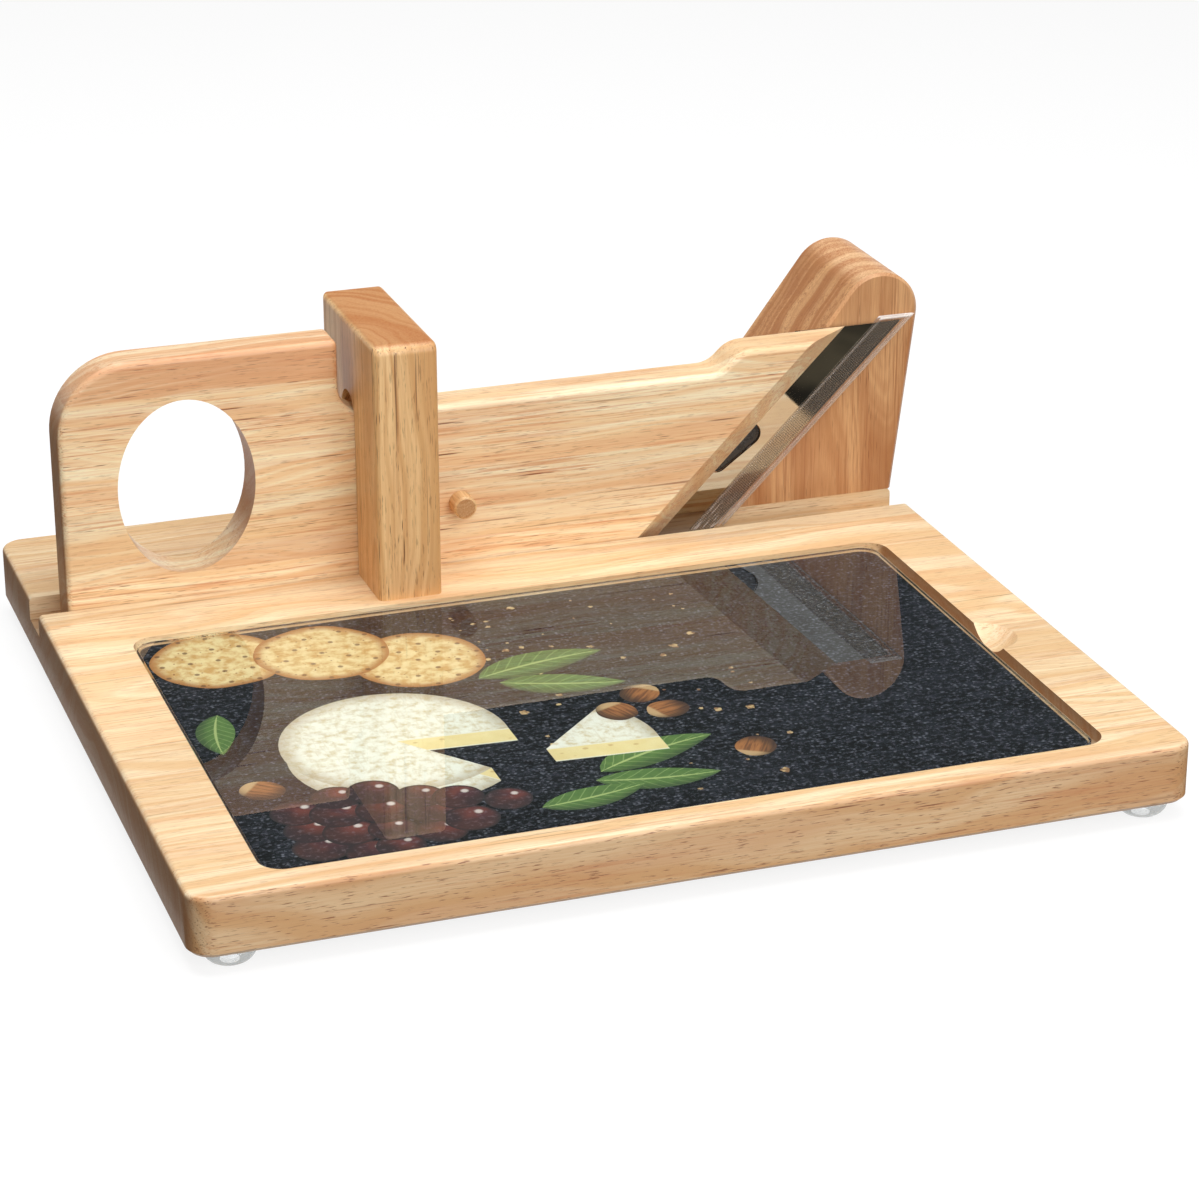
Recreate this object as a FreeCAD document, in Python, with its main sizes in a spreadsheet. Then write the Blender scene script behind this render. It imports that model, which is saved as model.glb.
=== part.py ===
import FreeCAD, Part
import math
import os
import re
import Sketcher
from FreeCAD import Placement, Rotation, Vector

os.makedirs("parts", exist_ok=True)
doc = FreeCAD.newDocument("FoodSlicer")

# Every size is in millimetres and every angle in degrees. The origin is on the table, under the
# middle of the slicer's outer box. X runs to the right along the groove, Y to the back, Z up.
DIMENSIONS = [
    # Board
    ("base_length", 360.0, "board, left to right"),
    ("base_depth", 333.0, "board, front to back"),
    ("base_thick", 22.0, "board thickness"),
    ("base_corner", 9.0, "radius of the board's upright corners"),
    ("base_ease", 2.0, "rounding of the board's top edges"),
    ("under_ease", 1.5, "bevel of the board's lower edges"),
    ("origin_left", 184.8, "origin to the board's left end"),
    ("groove_front", 250.3, "board front to the groove's front wall"),
    ("groove_width", 18.5, "groove width"),
    ("groove_depth", 9.0, "groove depth"),
    ("recess_left", 27.6, "board's left end to the recess"),
    ("recess_front", 12.3, "board front to the recess"),
    ("recess_length", 304.6, "recess, left to right"),
    ("recess_depth", 203.6, "recess, front to back"),
    ("recess_corner", 9.0, "recess corner radius"),
    ("recess_sink", 4.8, "recess depth under the board's top"),
    ("notch_front", 112.9, "board front to the thumb notch's middle"),
    ("notch_radius", 13.4, "thumb notch radius at the board's top"),
    ("notch_inset", 2.8, "notch centre to the recess's right wall"),
    ("notch_sink", 5.4, "thumb notch depth"),
    # Feet
    ("foot_height", 6.4, "bumper height"),
    ("foot_size", 19.2, "bumper diameter"),
    ("foot_side", 15.0, "board end to bumper centre"),
    ("foot_back", 11.0, "board front or back to bumper centre"),
    # Glass plate and its print
    ("glass_length", 300.0, "plate, left to right"),
    ("glass_depth", 200.0, "plate, front to back"),
    ("glass_thick", 4.0, "plate thickness"),
    ("glass_corner", 8.0, "plate corner radius"),
    ("glass_ease", 0.5, "bevel of the plate's ground edges"),
    ("glass_side", 0.7, "gap between plate and recess, left"),
    ("glass_near", 0.7, "gap between plate and recess, front"),
    ("print_thick", 0.2, "printed film under the plate"),
    ("print_rim", 1.2, "clear rim round the print"),
    # Guide post
    ("post_left", 126.3, "board's left end to the post"),
    ("post_front", 220.2, "board front to the post"),
    ("post_width", 25.2, "post, left to right"),
    ("post_depth", 74.0, "post, front to back"),
    ("post_height", 102.0, "post above the board"),
    ("post_round", 4.0, "rounding of the post's front top edge"),
    ("post_ease", 2.5, "rounding of the post's side edges"),
    ("arch_height", 73.0, "crown of the arch above the board"),
    # Slider panel
    ("panel_left", 11.5, "board's left end to the panel"),
    ("panel_gap", 0.4, "running gap between panel and groove"),
    ("panel_lift", 0.3, "running gap under the panel"),
    ("panel_thick", 17.6, "panel thickness"),
    ("panel_foot", 242.8, "length of the panel's lower edge"),
    ("panel_ease", 2.5, "rounding of the panel's front upper edges"),
    ("rear_ease", 1.8, "bevel of the panel's rear upper edges"),
    ("grip_length", 109.2, "length of the high grip part"),
    ("grip_height", 105.0, "height of the grip part"),
    ("grip_corner", 29.0, "radius of the grip's upper left corner"),
    ("neck_height", 74.0, "height of the panel under the arch"),
    ("neck_round", 12.0, "hollow radius between grip and neck"),
    ("step_start", 265.5, "foot of the step, from the panel's left end"),
    ("step_end", 274.0, "head of the step, from the panel's left end"),
    ("step_hollow", 11.3, "hollow radius at the foot of the step"),
    ("step_round", 13.0, "radius at the head of the step"),
    ("nose_height", 82.4, "height of the panel at the blade"),
    ("ring_side", 48.5, "panel's left end to the finger hole's centre"),
    ("ring_rise", 53.3, "panel's lower edge to the finger hole's centre"),
    ("ring_width", 53.4, "finger hole width"),
    ("ring_height", 69.8, "finger hole height"),
    ("ramp_width", 14.7, "slanted relief in front of the blade, square to the blade"),
    ("seat_depth", 1.8, "blade seat cut into the panel's rear face"),
    # Lock peg
    ("peg_side", 156.8, "panel's left end to the peg"),
    ("peg_rise", 33.4, "panel's lower edge to the peg"),
    ("peg_bore", 9.3, "peg hole diameter"),
    ("peg_size", 9.2, "peg diameter"),
    ("peg_length", 25.2, "peg length"),
    ("peg_ease", 0.8, "bevel of the peg's outer end"),
    # Blade and its guard
    ("blade_thick", 1.0, "blade thickness"),
    ("blade_show", 17.7, "blade beyond the panel, square to the edge"),
    ("blade_hide", 15.0, "blade behind the panel, square to the edge"),
    ("blade_gap", 0.5, "blade end above the panel's lower edge"),
    ("bevel_width", 8.1, "width of the ground bevel"),
    ("bevel_drop", 0.8, "thickness ground away at the edge"),
    ("slot_run", 50.0, "blade slot's centre from the panel's lower corner, along the blade"),
    ("slot_back", 1.0, "blade slot's centre behind the panel's end, square to the edge"),
    ("slot_length", 27.0, "blade slot length"),
    ("slot_width", 10.0, "blade slot width"),
    ("slot_turn", 9.0, "turn of the slot from the blade's edge"),
    ("guard_wall", 0.5, "guard wall thickness"),
    ("guard_play", 0.15, "gap between guard and blade, each side"),
    ("guard_depth", 10.6, "guard channel, square to the edge"),
    ("guard_over", 2.5, "guard fold beyond the cutting edge"),
    ("guard_start", 2.7, "guard's lower end above the panel's lower edge"),
    ("guard_stop", 84.6, "guard's upper end above the panel's lower edge"),
    # Backing block
    ("block_left", 274.2, "board's left end to the block's foot"),
    ("block_foot", 86.1, "length of the block's foot"),
    ("block_depth", 55.0, "block, front to back"),
    ("block_slope", 53.0, "slope of the block's left side"),
    ("block_lean", 7.0, "lean of the block's right side past upright"),
    ("block_round", 16.6, "radius of the block's head"),
    ("block_ease", 1.2, "bevel of the block's edges"),
    # Wood screws
    ("screw_shank", 4.0, "long screw diameter"),
    ("screw_head", 8.0, "long screw head diameter"),
    ("screw_length", 40.0, "long screw length"),
    ("screw_disc", 2.0, "long screw head thickness"),
    ("screw_bore", 8.6, "counterbore for a long screw's head"),
    ("screw_sink", 3.0, "counterbore depth"),
    ("screw_play", 0.02, "gap between a shank and its hole"),
    ("leg_front", 15.0, "post's front face to the front screw"),
    ("leg_back", 59.5, "post's front face to the rear screw"),
    ("screw_near", 24.0, "block's foot to its two left screws"),
    ("screw_far", 66.0, "block's foot to its right screw"),
    ("stub_shank", 3.0, "blade screw diameter"),
    ("stub_head", 5.0, "blade screw head diameter"),
    ("stub_length", 8.0, "blade screw length"),
    ("stub_back", 10.5, "blade screws behind the panel's end, square to the edge"),
    ("stub_first", 14.0, "lowest blade screw from the panel's lower corner, along the blade"),
    ("stub_pitch", 41.0, "blade screw spacing"),
]

# Each long screw's place, from the board's left end and from its front.
POST_SCREWS = [
    ("post_left + post_width / 2", "post_front + leg_front"),
    ("post_left + post_width / 2", "post_front + leg_back"),
]
BLOCK_SCREWS = [
    ("block_left + screw_near", "groove_front + groove_width + block_depth / 4"),
    ("block_left + screw_near", "groove_front + groove_width + block_depth * 3 / 4"),
    ("block_left + screw_far", "groove_front + groove_width + block_depth / 2"),
]
BLADE_SCREW_COUNT = 3

# Directions of the slanted blade: along its edge, square to its edge, and through its thickness.
BLADE_TURN = Rotation(Vector(1, 0, 1), Vector(1, 0, -1), Vector(0, 1, 0), "XYZ")
ROOT_HALF = "sqrt(2) / 2"

sheet = doc.addObject("Spreadsheet::Sheet", "Dimensions")
for row, (alias, size, note) in enumerate(DIMENSIONS, start=1):
    sheet.set(f"A{row}", note)
    sheet.set(f"B{row}", str(size))
    sheet.setAlias(f"B{row}", alias)
doc.recompute()


# Helpers for sizes


def bound(text):
    """An expression with each of the sheet's aliases written in full."""
    return re.sub(r"\b[a-z]+_[a-z]+\b", r"Dimensions.\g<0>", text)


def size_of(text):
    """The value of an expression of the sheet's aliases."""
    return float(sheet.evalExpression(bound(text)))


def point_at(x, y):
    return Vector(size_of(x), size_of(y), 0)


def drive(sketch, constraint, text):
    """Add a dimension to the sketch and bind it to an expression."""
    number = sketch.addConstraint(constraint)
    sketch.setExpression(f"Constraints[{number}]", bound(text))


# Helpers for sketches


def new_body(label):
    body = doc.addObject("PartDesign::Body", label)
    body.Label = label
    return body


def new_sketch(body, name, role, offset="0", turn=Rotation()):
    """A sketch on one of the body's origin planes, moved along the plane's normal by offset."""
    plane = next(item for item in body.Origin.OriginFeatures if item.Role == role)
    sketch = body.newObject("Sketcher::SketchObject", f"{body.Label}_{name}")
    sketch.AttachmentSupport = [(plane, "")]
    sketch.MapMode = "FlatFace"
    sketch.AttachmentOffset = Placement(Vector(0, 0, size_of(offset)), turn)
    sketch.setExpression("AttachmentOffset.Base.z", bound(offset))
    return sketch


def fix_point(sketch, geometry, end, x, y):
    """Dimension a sketch point from the sketch's origin."""
    spot = point_at(x, y)
    drive(sketch, Sketcher.Constraint("DistanceX", -1, 1, geometry, end, spot.x), x)
    drive(sketch, Sketcher.Constraint("DistanceY", -1, 1, geometry, end, spot.y), y)


def corner_arc(before, corner, after, radius):
    """The arc that rounds a corner of an outline, and its tangent points, in walking order."""
    back = (before - corner).normalize()
    ahead = (after - corner).normalize()
    half = back.getAngle(ahead) / 2
    reach = radius / math.tan(half)
    start = corner + back * reach
    stop = corner + ahead * reach
    bisector = (back + ahead).normalize()
    centre = corner + bisector * (reach ** 2 + radius ** 2) ** 0.5
    middle = centre - bisector * radius
    return start, stop, Part.Arc(start, middle, stop)


def draw_outline(sketch, corners):
    """A closed outline. Each corner is an x and a y expression and, where it is round, a radius."""
    spots = [point_at(corner[0], corner[1]) for corner in corners]
    count = len(corners)
    arcs = {}
    for i, corner in enumerate(corners):
        if len(corner) == 3:
            after = spots[(i + 1) % count]
            arcs[i] = corner_arc(spots[i - 1], spots[i], after, size_of(corner[2]))
    lines = []
    for i in range(count):
        following = (i + 1) % count
        start = arcs[i][1] if i in arcs else spots[i]
        stop = arcs[following][0] if following in arcs else spots[following]
        lines.append(sketch.addGeometry(Part.LineSegment(start, stop), False))
    for i, corner in enumerate(corners):
        arriving = lines[i - 1]
        leaving = lines[i]
        if i not in arcs:
            sketch.addConstraint(Sketcher.Constraint("Coincident", arriving, 2, leaving, 1))
            fix_point(sketch, leaving, 1, corner[0], corner[1])
            continue
        arc = sketch.addGeometry(arcs[i][2], False)
        ends = arc_ends(sketch, arc, arcs[i][0])
        sketch.addConstraint(Sketcher.Constraint("Tangent", arriving, 2, arc, ends[0]))
        sketch.addConstraint(Sketcher.Constraint("Tangent", arc, ends[1], leaving, 1))
        radius = Sketcher.Constraint("Radius", arc, size_of(corner[2]))
        drive(sketch, radius, corner[2])
        mark = sketch.addGeometry(Part.Point(spots[i]), True)
        fix_point(sketch, mark, 1, corner[0], corner[1])
        sketch.addConstraint(Sketcher.Constraint("PointOnObject", mark, 1, arriving))
        sketch.addConstraint(Sketcher.Constraint("PointOnObject", mark, 1, leaving))


def arc_ends(sketch, arc, first):
    """The arc's end numbers, the one at the point first before the other."""
    if sketch.getPoint(arc, 1).distanceToPoint(first) < 1e-6:
        return 1, 2
    return 2, 1


def draw_circle(sketch, x, y, diameter):
    radius = size_of(diameter) / 2
    circle = sketch.addGeometry(Part.Circle(point_at(x, y), Vector(0, 0, 1), radius), False)
    fix_point(sketch, circle, 3, x, y)
    drive(sketch, Sketcher.Constraint("Diameter", circle, 2 * radius), diameter)


# Helpers for features


def add_feature(body, kind, name, sketch, **settings):
    """A PartDesign feature from a sketch. Settings that are text are bound as expressions."""
    feature = body.newObject(f"PartDesign::{kind}", f"{body.Label}_{name}")
    feature.Profile = sketch
    for key, value in settings.items():
        if isinstance(value, str) and key != "Type":
            feature.setExpression(key, bound(value))
        else:
            setattr(feature, key, value)
    sketch.Visibility = False
    doc.recompute()
    return feature


def cut_feature(body, kind, name, sketch, **settings):
    """A feature that removes material, with proof that it did."""
    before = body.Shape.Volume
    feature = add_feature(body, kind, name, sketch, **settings)
    if body.Shape.Volume > before - 0.5:
        raise RuntimeError(f"{feature.Name} cut nothing")
    return feature


def dress_edges(body, kind, name, keep, **settings):
    """A Fillet or Chamfer on those edges of the body's tip that the function keep accepts."""
    base = body.Tip
    chosen = [f"Edge{i}" for i, edge in enumerate(base.Shape.Edges, 1) if keep(edge)]
    feature = body.newObject(f"PartDesign::{kind}", f"{body.Label}_{name}")
    feature.Base = (base, chosen)
    for key, value in settings.items():
        if isinstance(value, str) and key != "ChamferType":
            feature.setExpression(key, bound(value))
        else:
            setattr(feature, key, value)
    doc.recompute()
    return feature


def lies_at(edge, axis, level):
    """Whether the whole edge lies in the plane where that axis has that value."""
    box = edge.BoundBox
    low = getattr(box, f"{axis}Min")
    high = getattr(box, f"{axis}Max")
    return abs(low - level) < 1e-3 and abs(high - level) < 1e-3


def put(body, x, y, z, turn=Rotation()):
    """Place a body: x from the board's left end, y from its front, z from its underside."""
    body.Placement = Placement(Vector(0, 0, 0), turn)
    body.setExpression("Placement.Base.x", bound(f"{x} - origin_left"))
    body.setExpression("Placement.Base.y", bound(f"{y} - base_depth / 2"))
    body.setExpression("Placement.Base.z", bound(f"{z} + foot_height"))


# Board


def make_base_board():
    """A plain board with a run-through groove, a recess for the glass and a thumb notch."""
    body = new_body("base_board")
    outline = new_sketch(body, "outline", "XY_Plane")
    draw_outline(
        outline,
        [
            ("0", "0", "base_corner"),
            ("base_length", "0", "base_corner"),
            ("base_length", "base_depth", "base_corner"),
            ("0", "base_depth", "base_corner"),
        ],
    )
    add_feature(body, "Pad", "plank", outline, Length="base_thick")
    top = size_of("base_thick")
    dress_edges(
        body, "Fillet", "easing", lambda edge: lies_at(edge, "Z", top), Radius="base_ease"
    )
    dress_edges(
        body, "Chamfer", "under_bevel", lambda edge: lies_at(edge, "Z", 0), Size="under_ease"
    )

    groove = new_sketch(body, "groove", "XY_Plane", "base_thick")
    groove_end = "base_length + 1"
    groove_back = "groove_front + groove_width"
    draw_outline(
        groove,
        [
            ("-1", "groove_front"),
            (groove_end, "groove_front"),
            (groove_end, groove_back),
            ("-1", groove_back),
        ],
    )
    cut_feature(body, "Pocket", "groove_cut", groove, Length="groove_depth")

    recess = new_sketch(body, "recess", "XY_Plane", "base_thick")
    recess_right = "recess_left + recess_length"
    recess_back = "recess_front + recess_depth"
    draw_outline(
        recess,
        [
            ("recess_left", "recess_front", "recess_corner"),
            (recess_right, "recess_front", "recess_corner"),
            (recess_right, recess_back, "recess_corner"),
            ("recess_left", recess_back, "recess_corner"),
        ],
    )
    cut_feature(body, "Pocket", "recess_cut", recess, Length="recess_sink")

    # The thumb notch is the bowl that a ball-nose cutter leaves beside the recess.
    before = body.Shape.Volume
    bowl = body.newObject("PartDesign::SubtractiveSphere", "base_board_notch")
    bowl_radius = "(notch_radius ^ 2 + notch_sink ^ 2) / (2 * notch_sink)"
    bowl.setExpression("Radius", bound(bowl_radius))
    bowl.setExpression("Placement.Base.x", bound("recess_left + recess_length - notch_inset"))
    bowl.setExpression("Placement.Base.y", bound("notch_front"))
    bowl.setExpression("Placement.Base.z", bound(f"base_thick - notch_sink + {bowl_radius}"))
    doc.recompute()
    if body.Shape.Volume > before - 0.5:
        raise RuntimeError("the thumb notch cut nothing")

    # Counterbored holes for the screws that hold the post and the block from below.
    holes = new_sketch(body, "screw_holes", "XY_Plane")
    for x, y in POST_SCREWS + BLOCK_SCREWS:
        draw_circle(holes, x, y, "screw_shank")
    drill(
        body,
        "screw_bores",
        holes,
        "screw_shank",
        DepthType="ThroughAll",
        Reversed=True,
        HoleCutType="Counterbore",
        HoleCutDiameter="screw_bore",
        HoleCutDepth="screw_sink",
    )
    put(body, "0", "0", "0")
    return body


def drill(body, name, sketch, shank, **settings):
    """Drilled holes at the sketch's circles, with a running gap round the shank."""
    doc.recompute()
    before = body.Shape.Volume
    hole = body.newObject("PartDesign::Hole", f"{body.Label}_{name}")
    hole.Profile = sketch
    hole.DrillPoint = "Flat"
    hole.setExpression("Diameter", bound(f"{shank} + 2 * screw_play"))
    for key, value in settings.items():
        if key in ("HoleCutDiameter", "HoleCutDepth", "Depth"):
            hole.setExpression(key, bound(value))
        else:
            setattr(hole, key, value)
    doc.recompute()
    if body.Shape.Volume > before - 0.5:
        raise RuntimeError(f"{hole.Name} cut nothing")


# Feet


def make_foot(label, x, y):
    """A clear stick-on bumper."""
    body = new_body(label)
    outline = new_sketch(body, "outline", "XY_Plane")
    draw_circle(outline, "0", "0", "foot_size")
    add_feature(body, "Pad", "disc", outline, Length="foot_height")
    put(body, x, y, "-foot_height")
    return body


def make_feet():
    far_side = "base_length - foot_side"
    far_back = "base_depth - foot_back"
    return [
        make_foot("foot_front_left", "foot_side", "foot_back"),
        make_foot("foot_front_right", far_side, "foot_back"),
        make_foot("foot_rear_left", "foot_side", far_back),
        make_foot("foot_rear_right", far_side, far_back),
    ]


# Glass


def make_sheet(label, length, depth, corner, thick):
    """A flat rounded sheet with its lower left corner at the body's origin."""
    body = new_body(label)
    outline = new_sketch(body, "outline", "XY_Plane")
    draw_outline(
        outline,
        [
            ("0", "0", corner),
            (length, "0", corner),
            (length, depth, corner),
            ("0", depth, corner),
        ],
    )
    add_feature(body, "Pad", "sheet", outline, Length=thick)
    return body


def make_glass_plate():
    body = make_sheet("glass_plate", "glass_length", "glass_depth", "glass_corner", "glass_thick")
    top = size_of("glass_thick")
    dress_edges(
        body,
        "Chamfer",
        "ground_edge",
        lambda edge: lies_at(edge, "Z", 0) or lies_at(edge, "Z", top),
        Size="glass_ease",
    )
    put(
        body,
        "recess_left + glass_side",
        "recess_front + glass_near",
        "base_thick - recess_sink + print_thick",
    )
    return body


def make_glass_print():
    body = make_sheet(
        "glass_print",
        "glass_length - 2 * print_rim",
        "glass_depth - 2 * print_rim",
        "glass_corner - print_rim",
        "print_thick",
    )
    put(
        body,
        "recess_left + glass_side + print_rim",
        "recess_front + glass_near + print_rim",
        "base_thick - recess_sink",
    )
    return body


# Guide post


def make_guide_post():
    """A thick upright that straddles the groove, with an arched slot for the panel."""
    body = new_body("guide_post")
    outline = new_sketch(body, "outline", "YZ_Plane")
    draw_outline(
        outline,
        [
            ("0", "0"),
            ("post_depth", "0"),
            ("post_depth", "post_height"),
            ("0", "post_height", "post_round"),
        ],
    )
    add_feature(body, "Pad", "upright", outline, Length="post_width")
    side = size_of("post_width")
    dress_edges(
        body,
        "Fillet",
        "easing",
        lambda edge: (lies_at(edge, "X", 0) or lies_at(edge, "X", side))
        and not lies_at(edge, "Z", 0),
        Radius="post_ease",
    )

    # The slot ends in a half circle as wide as itself.
    slot = new_sketch(body, "slot", "YZ_Plane")
    slot_front = "groove_front - post_front"
    slot_back = f"{slot_front} + groove_width"
    spring = "arch_height - groove_width / 2"
    draw_outline(
        slot,
        [(slot_front, "-1"), (slot_back, "-1"), (slot_back, spring), (slot_front, spring)],
    )
    cut_feature(body, "Pocket", "slot_cut", slot, Type="ThroughAll", Reversed=True)
    arch = new_sketch(body, "arch", "YZ_Plane")
    draw_circle(arch, f"{slot_front} + groove_width / 2", spring, "groove_width")
    cut_feature(body, "Pocket", "arch_cut", arch, Type="ThroughAll", Reversed=True)

    bore_pilots(body, [("post_width / 2", "leg_front"), ("post_width / 2", "leg_back")])
    put(body, "post_left", "post_front", "base_thick")
    return body


def bore_pilots(body, places):
    """Blind holes from below for the long screws, a little deeper than they reach."""
    pilots = new_sketch(body, "pilots", "XY_Plane")
    for x, y in places:
        draw_circle(pilots, x, y, "screw_shank + 2 * screw_play")
    cut_feature(
        body,
        "Pocket",
        "pilot_bores",
        pilots,
        Length="screw_sink + screw_length - base_thick + 1",
        Reversed=True,
    )


# Backing block


def make_backing_block():
    """The wedge that food is held against: two straight sides under a round head."""
    body = new_body("backing_block")
    outline = new_sketch(body, "outline", "XZ_Plane")
    # The two sides would meet at this point above the round head.
    apex_height = "block_foot / (1 / tan(block_slope * 1 deg) - tan(block_lean * 1 deg))"
    apex_reach = f"{apex_height} / tan(block_slope * 1 deg)"
    draw_outline(
        outline,
        [("0", "0"), ("block_foot", "0"), (apex_reach, apex_height, "block_round")],
    )
    add_feature(body, "Pad", "wedge", outline, Length="block_depth", Reversed=True)
    back = size_of("block_depth")
    dress_edges(
        body,
        "Chamfer",
        "easing",
        lambda edge: (lies_at(edge, "Y", 0) or lies_at(edge, "Y", back))
        and not lies_at(edge, "Z", 0),
        Size="block_ease",
    )
    bore_pilots(
        body,
        [(f"{x} - block_left", f"{y} - groove_front - groove_width") for x, y in BLOCK_SCREWS],
    )
    put(body, "block_left", "groove_front + groove_width", "base_thick")
    return body


# Slider


def put_on_slider(body, x, y, z, turn=Rotation()):
    """Place a body from the panel's lower left corner and its front face."""
    put(
        body,
        f"panel_left + {x}",
        f"groove_front + panel_gap + {y}",
        f"base_thick - groove_depth + panel_lift + {z}",
        turn,
    )


def make_slider_panel():
    """The panel that runs in the groove, with its grip, its step and the slanted blade end."""
    body = new_body("slider_panel")
    outline = new_sketch(body, "outline", "XZ_Plane")
    draw_outline(
        outline,
        [
            ("0", "0"),
            ("panel_foot", "0"),
            ("panel_foot + nose_height", "nose_height"),
            ("step_end", "nose_height", "step_round"),
            ("step_start", "neck_height", "step_hollow"),
            ("grip_length", "neck_height", "neck_round"),
            ("grip_length", "grip_height", "panel_ease"),
            ("0", "grip_height", "grip_corner"),
        ],
    )
    add_feature(body, "Pad", "board", outline, Length="panel_thick", Reversed=True)

    # The relief in front of the blade leaves a thin land that the blade's seat then removes.
    thick = size_of("panel_thick")
    foot = size_of("panel_foot")

    def is_blade_edge(edge):
        middle = edge.CenterOfMass
        return lies_at(edge, "Y", 0) and abs(middle.x - middle.z - foot) < 1e-3

    dress_edges(
        body,
        "Chamfer",
        "ramp",
        is_blade_edge,
        ChamferType="Two distances",
        Size="panel_thick - seat_depth",
        Size2="ramp_width",
    )

    ring = new_sketch(body, "ring", "XZ_Plane")
    draw_ring(ring)
    cut_feature(body, "Pocket", "ring_cut", ring, Type="ThroughAll", Midplane=True)

    # Along its upper edges and left end the panel is rounded in front and bevelled behind.
    neck = size_of("neck_height") - 0.1
    left_end = 0.1

    def is_rim(edge, face):
        box = edge.BoundBox
        return lies_at(edge, "Y", face) and (box.ZMin > neck or box.XMax < left_end)

    dress_edges(body, "Fillet", "easing", lambda edge: is_rim(edge, 0), Radius="panel_ease")
    dress_edges(body, "Chamfer", "rear_bevel", lambda edge: is_rim(edge, thick), Size="rear_ease")

    # The blade's seat: a strip of the rear face, open along the slanted end.
    seat = new_sketch(body, "seat", "XZ_Plane", "seat_depth - panel_thick")
    seat_edge = "panel_foot - blade_hide * sqrt(2)"
    draw_outline(
        seat,
        [
            (f"{seat_edge} - 1", "-1"),
            ("panel_foot + 1", "-1"),
            ("panel_foot + nose_height + 3", "nose_height + 1"),
            (f"{seat_edge} + nose_height + 1", "nose_height + 1"),
        ],
    )
    cut_feature(body, "Pocket", "seat_cut", seat, Length="seat_depth + 1", Reversed=False)

    bore = new_sketch(body, "peg_bore", "XZ_Plane")
    draw_circle(bore, "peg_side", "peg_rise", "peg_bore")
    cut_feature(body, "Pocket", "peg_hole", bore, Type="ThroughAll", Midplane=True)

    # Pilot holes for the blade screws, drilled from the seat towards the front.
    pilots = new_sketch(body, "pilots", "XZ_Plane", "seat_depth - panel_thick")
    for x, z in blade_screw_places():
        draw_circle(pilots, x, z, "stub_shank")
    drill(
        body,
        "pilot_bores",
        pilots,
        "stub_shank",
        DepthType="Dimension",
        Depth="stub_length - blade_thick + 0.4",
        Reversed=True,
    )
    put_on_slider(body, "0", "0", "0")
    return body


def draw_ring(sketch):
    """The upright oval of the finger hole."""
    centre = point_at("ring_side", "ring_rise")
    tall = size_of("ring_height") / 2
    wide = size_of("ring_width") / 2
    oval = sketch.addGeometry(
        Part.Ellipse(centre + Vector(0, tall, 0), centre + Vector(wide, 0, 0), centre), False
    )
    sketch.exposeInternalGeometry(oval)
    tall_axis = oval + 1
    wide_axis = oval + 2
    fix_point(sketch, oval, 3, "ring_side", "ring_rise")
    sketch.addConstraint(Sketcher.Constraint("Vertical", tall_axis))
    drive(sketch, Sketcher.Constraint("Distance", tall_axis, 2 * tall), "ring_height")
    drive(sketch, Sketcher.Constraint("Distance", wide_axis, 2 * wide), "ring_width")


def blade_screw_places():
    """The blade screws' x and z from the panel's lower left corner."""
    places = []
    for step in range(BLADE_SCREW_COUNT):
        run = f"(stub_first + {step} * stub_pitch)"
        x = f"panel_foot + ({run} - stub_back) * {ROOT_HALF}"
        z = f"({run} + stub_back) * {ROOT_HALF}"
        places.append((x, z))
    return places


def make_lock_peg():
    """A dowel through the panel that stops it against the post."""
    body = new_body("lock_peg")
    profile = new_sketch(body, "profile", "XY_Plane")
    draw_outline(
        profile,
        [
            ("0", "0"),
            ("peg_size / 2 - peg_ease", "0"),
            ("peg_size / 2", "peg_ease"),
            ("peg_size / 2", "peg_length"),
            ("0", "peg_length"),
        ],
    )
    add_feature(
        body, "Revolution", "dowel", profile, ReferenceAxis=(profile, ["V_Axis"]), Angle=360.0
    )
    put_on_slider(body, "peg_side", "panel_thick - peg_length", "peg_rise")
    return body


# Blade, with the body's own X along the cutting edge and Y square to it


def make_blade():
    """A slanted steel strip, cut level at both ends and ground to a bevel on its front."""
    body = new_body("blade")
    outline = new_sketch(body, "outline", "XY_Plane")
    # A level cut across the slanted strip runs at 45 degrees to it.
    low = "blade_gap * sqrt(2)"
    high = "nose_height * sqrt(2)"
    draw_outline(
        outline,
        [
            (f"{low} - blade_hide", "-blade_hide"),
            (f"{high} - blade_hide", "-blade_hide"),
            (f"{high} + blade_show", "blade_show"),
            (f"{low} + blade_show", "blade_show"),
        ],
    )
    add_feature(body, "Pad", "strip", outline, Length="blade_thick")

    slot = new_sketch(body, "slot", "XY_Plane")
    draw_slot(slot)
    cut_feature(body, "Pocket", "slot_cut", slot, Type="ThroughAll", Reversed=True)

    edge_line = size_of("blade_show")
    dress_edges(
        body,
        "Chamfer",
        "bevel",
        lambda edge: lies_at(edge, "Y", edge_line) and lies_at(edge, "Z", 0),
        ChamferType="Two distances",
        Size="bevel_width",
        Size2="bevel_drop",
    )

    holes = new_sketch(body, "screw_holes", "XY_Plane", "blade_thick")
    for step in range(BLADE_SCREW_COUNT):
        draw_circle(holes, f"stub_first + {step} * stub_pitch", "-stub_back", "stub_shank")
    drill(
        body,
        "screw_cones",
        holes,
        "stub_shank",
        DepthType="ThroughAll",
        HoleCutType="Countersink",
        HoleCutDiameter="stub_head",
        HoleCutCountersinkAngle=90.0,
    )
    put_on_slider(body, "panel_foot", "panel_thick - seat_depth", "0", BLADE_TURN)
    return body


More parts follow.
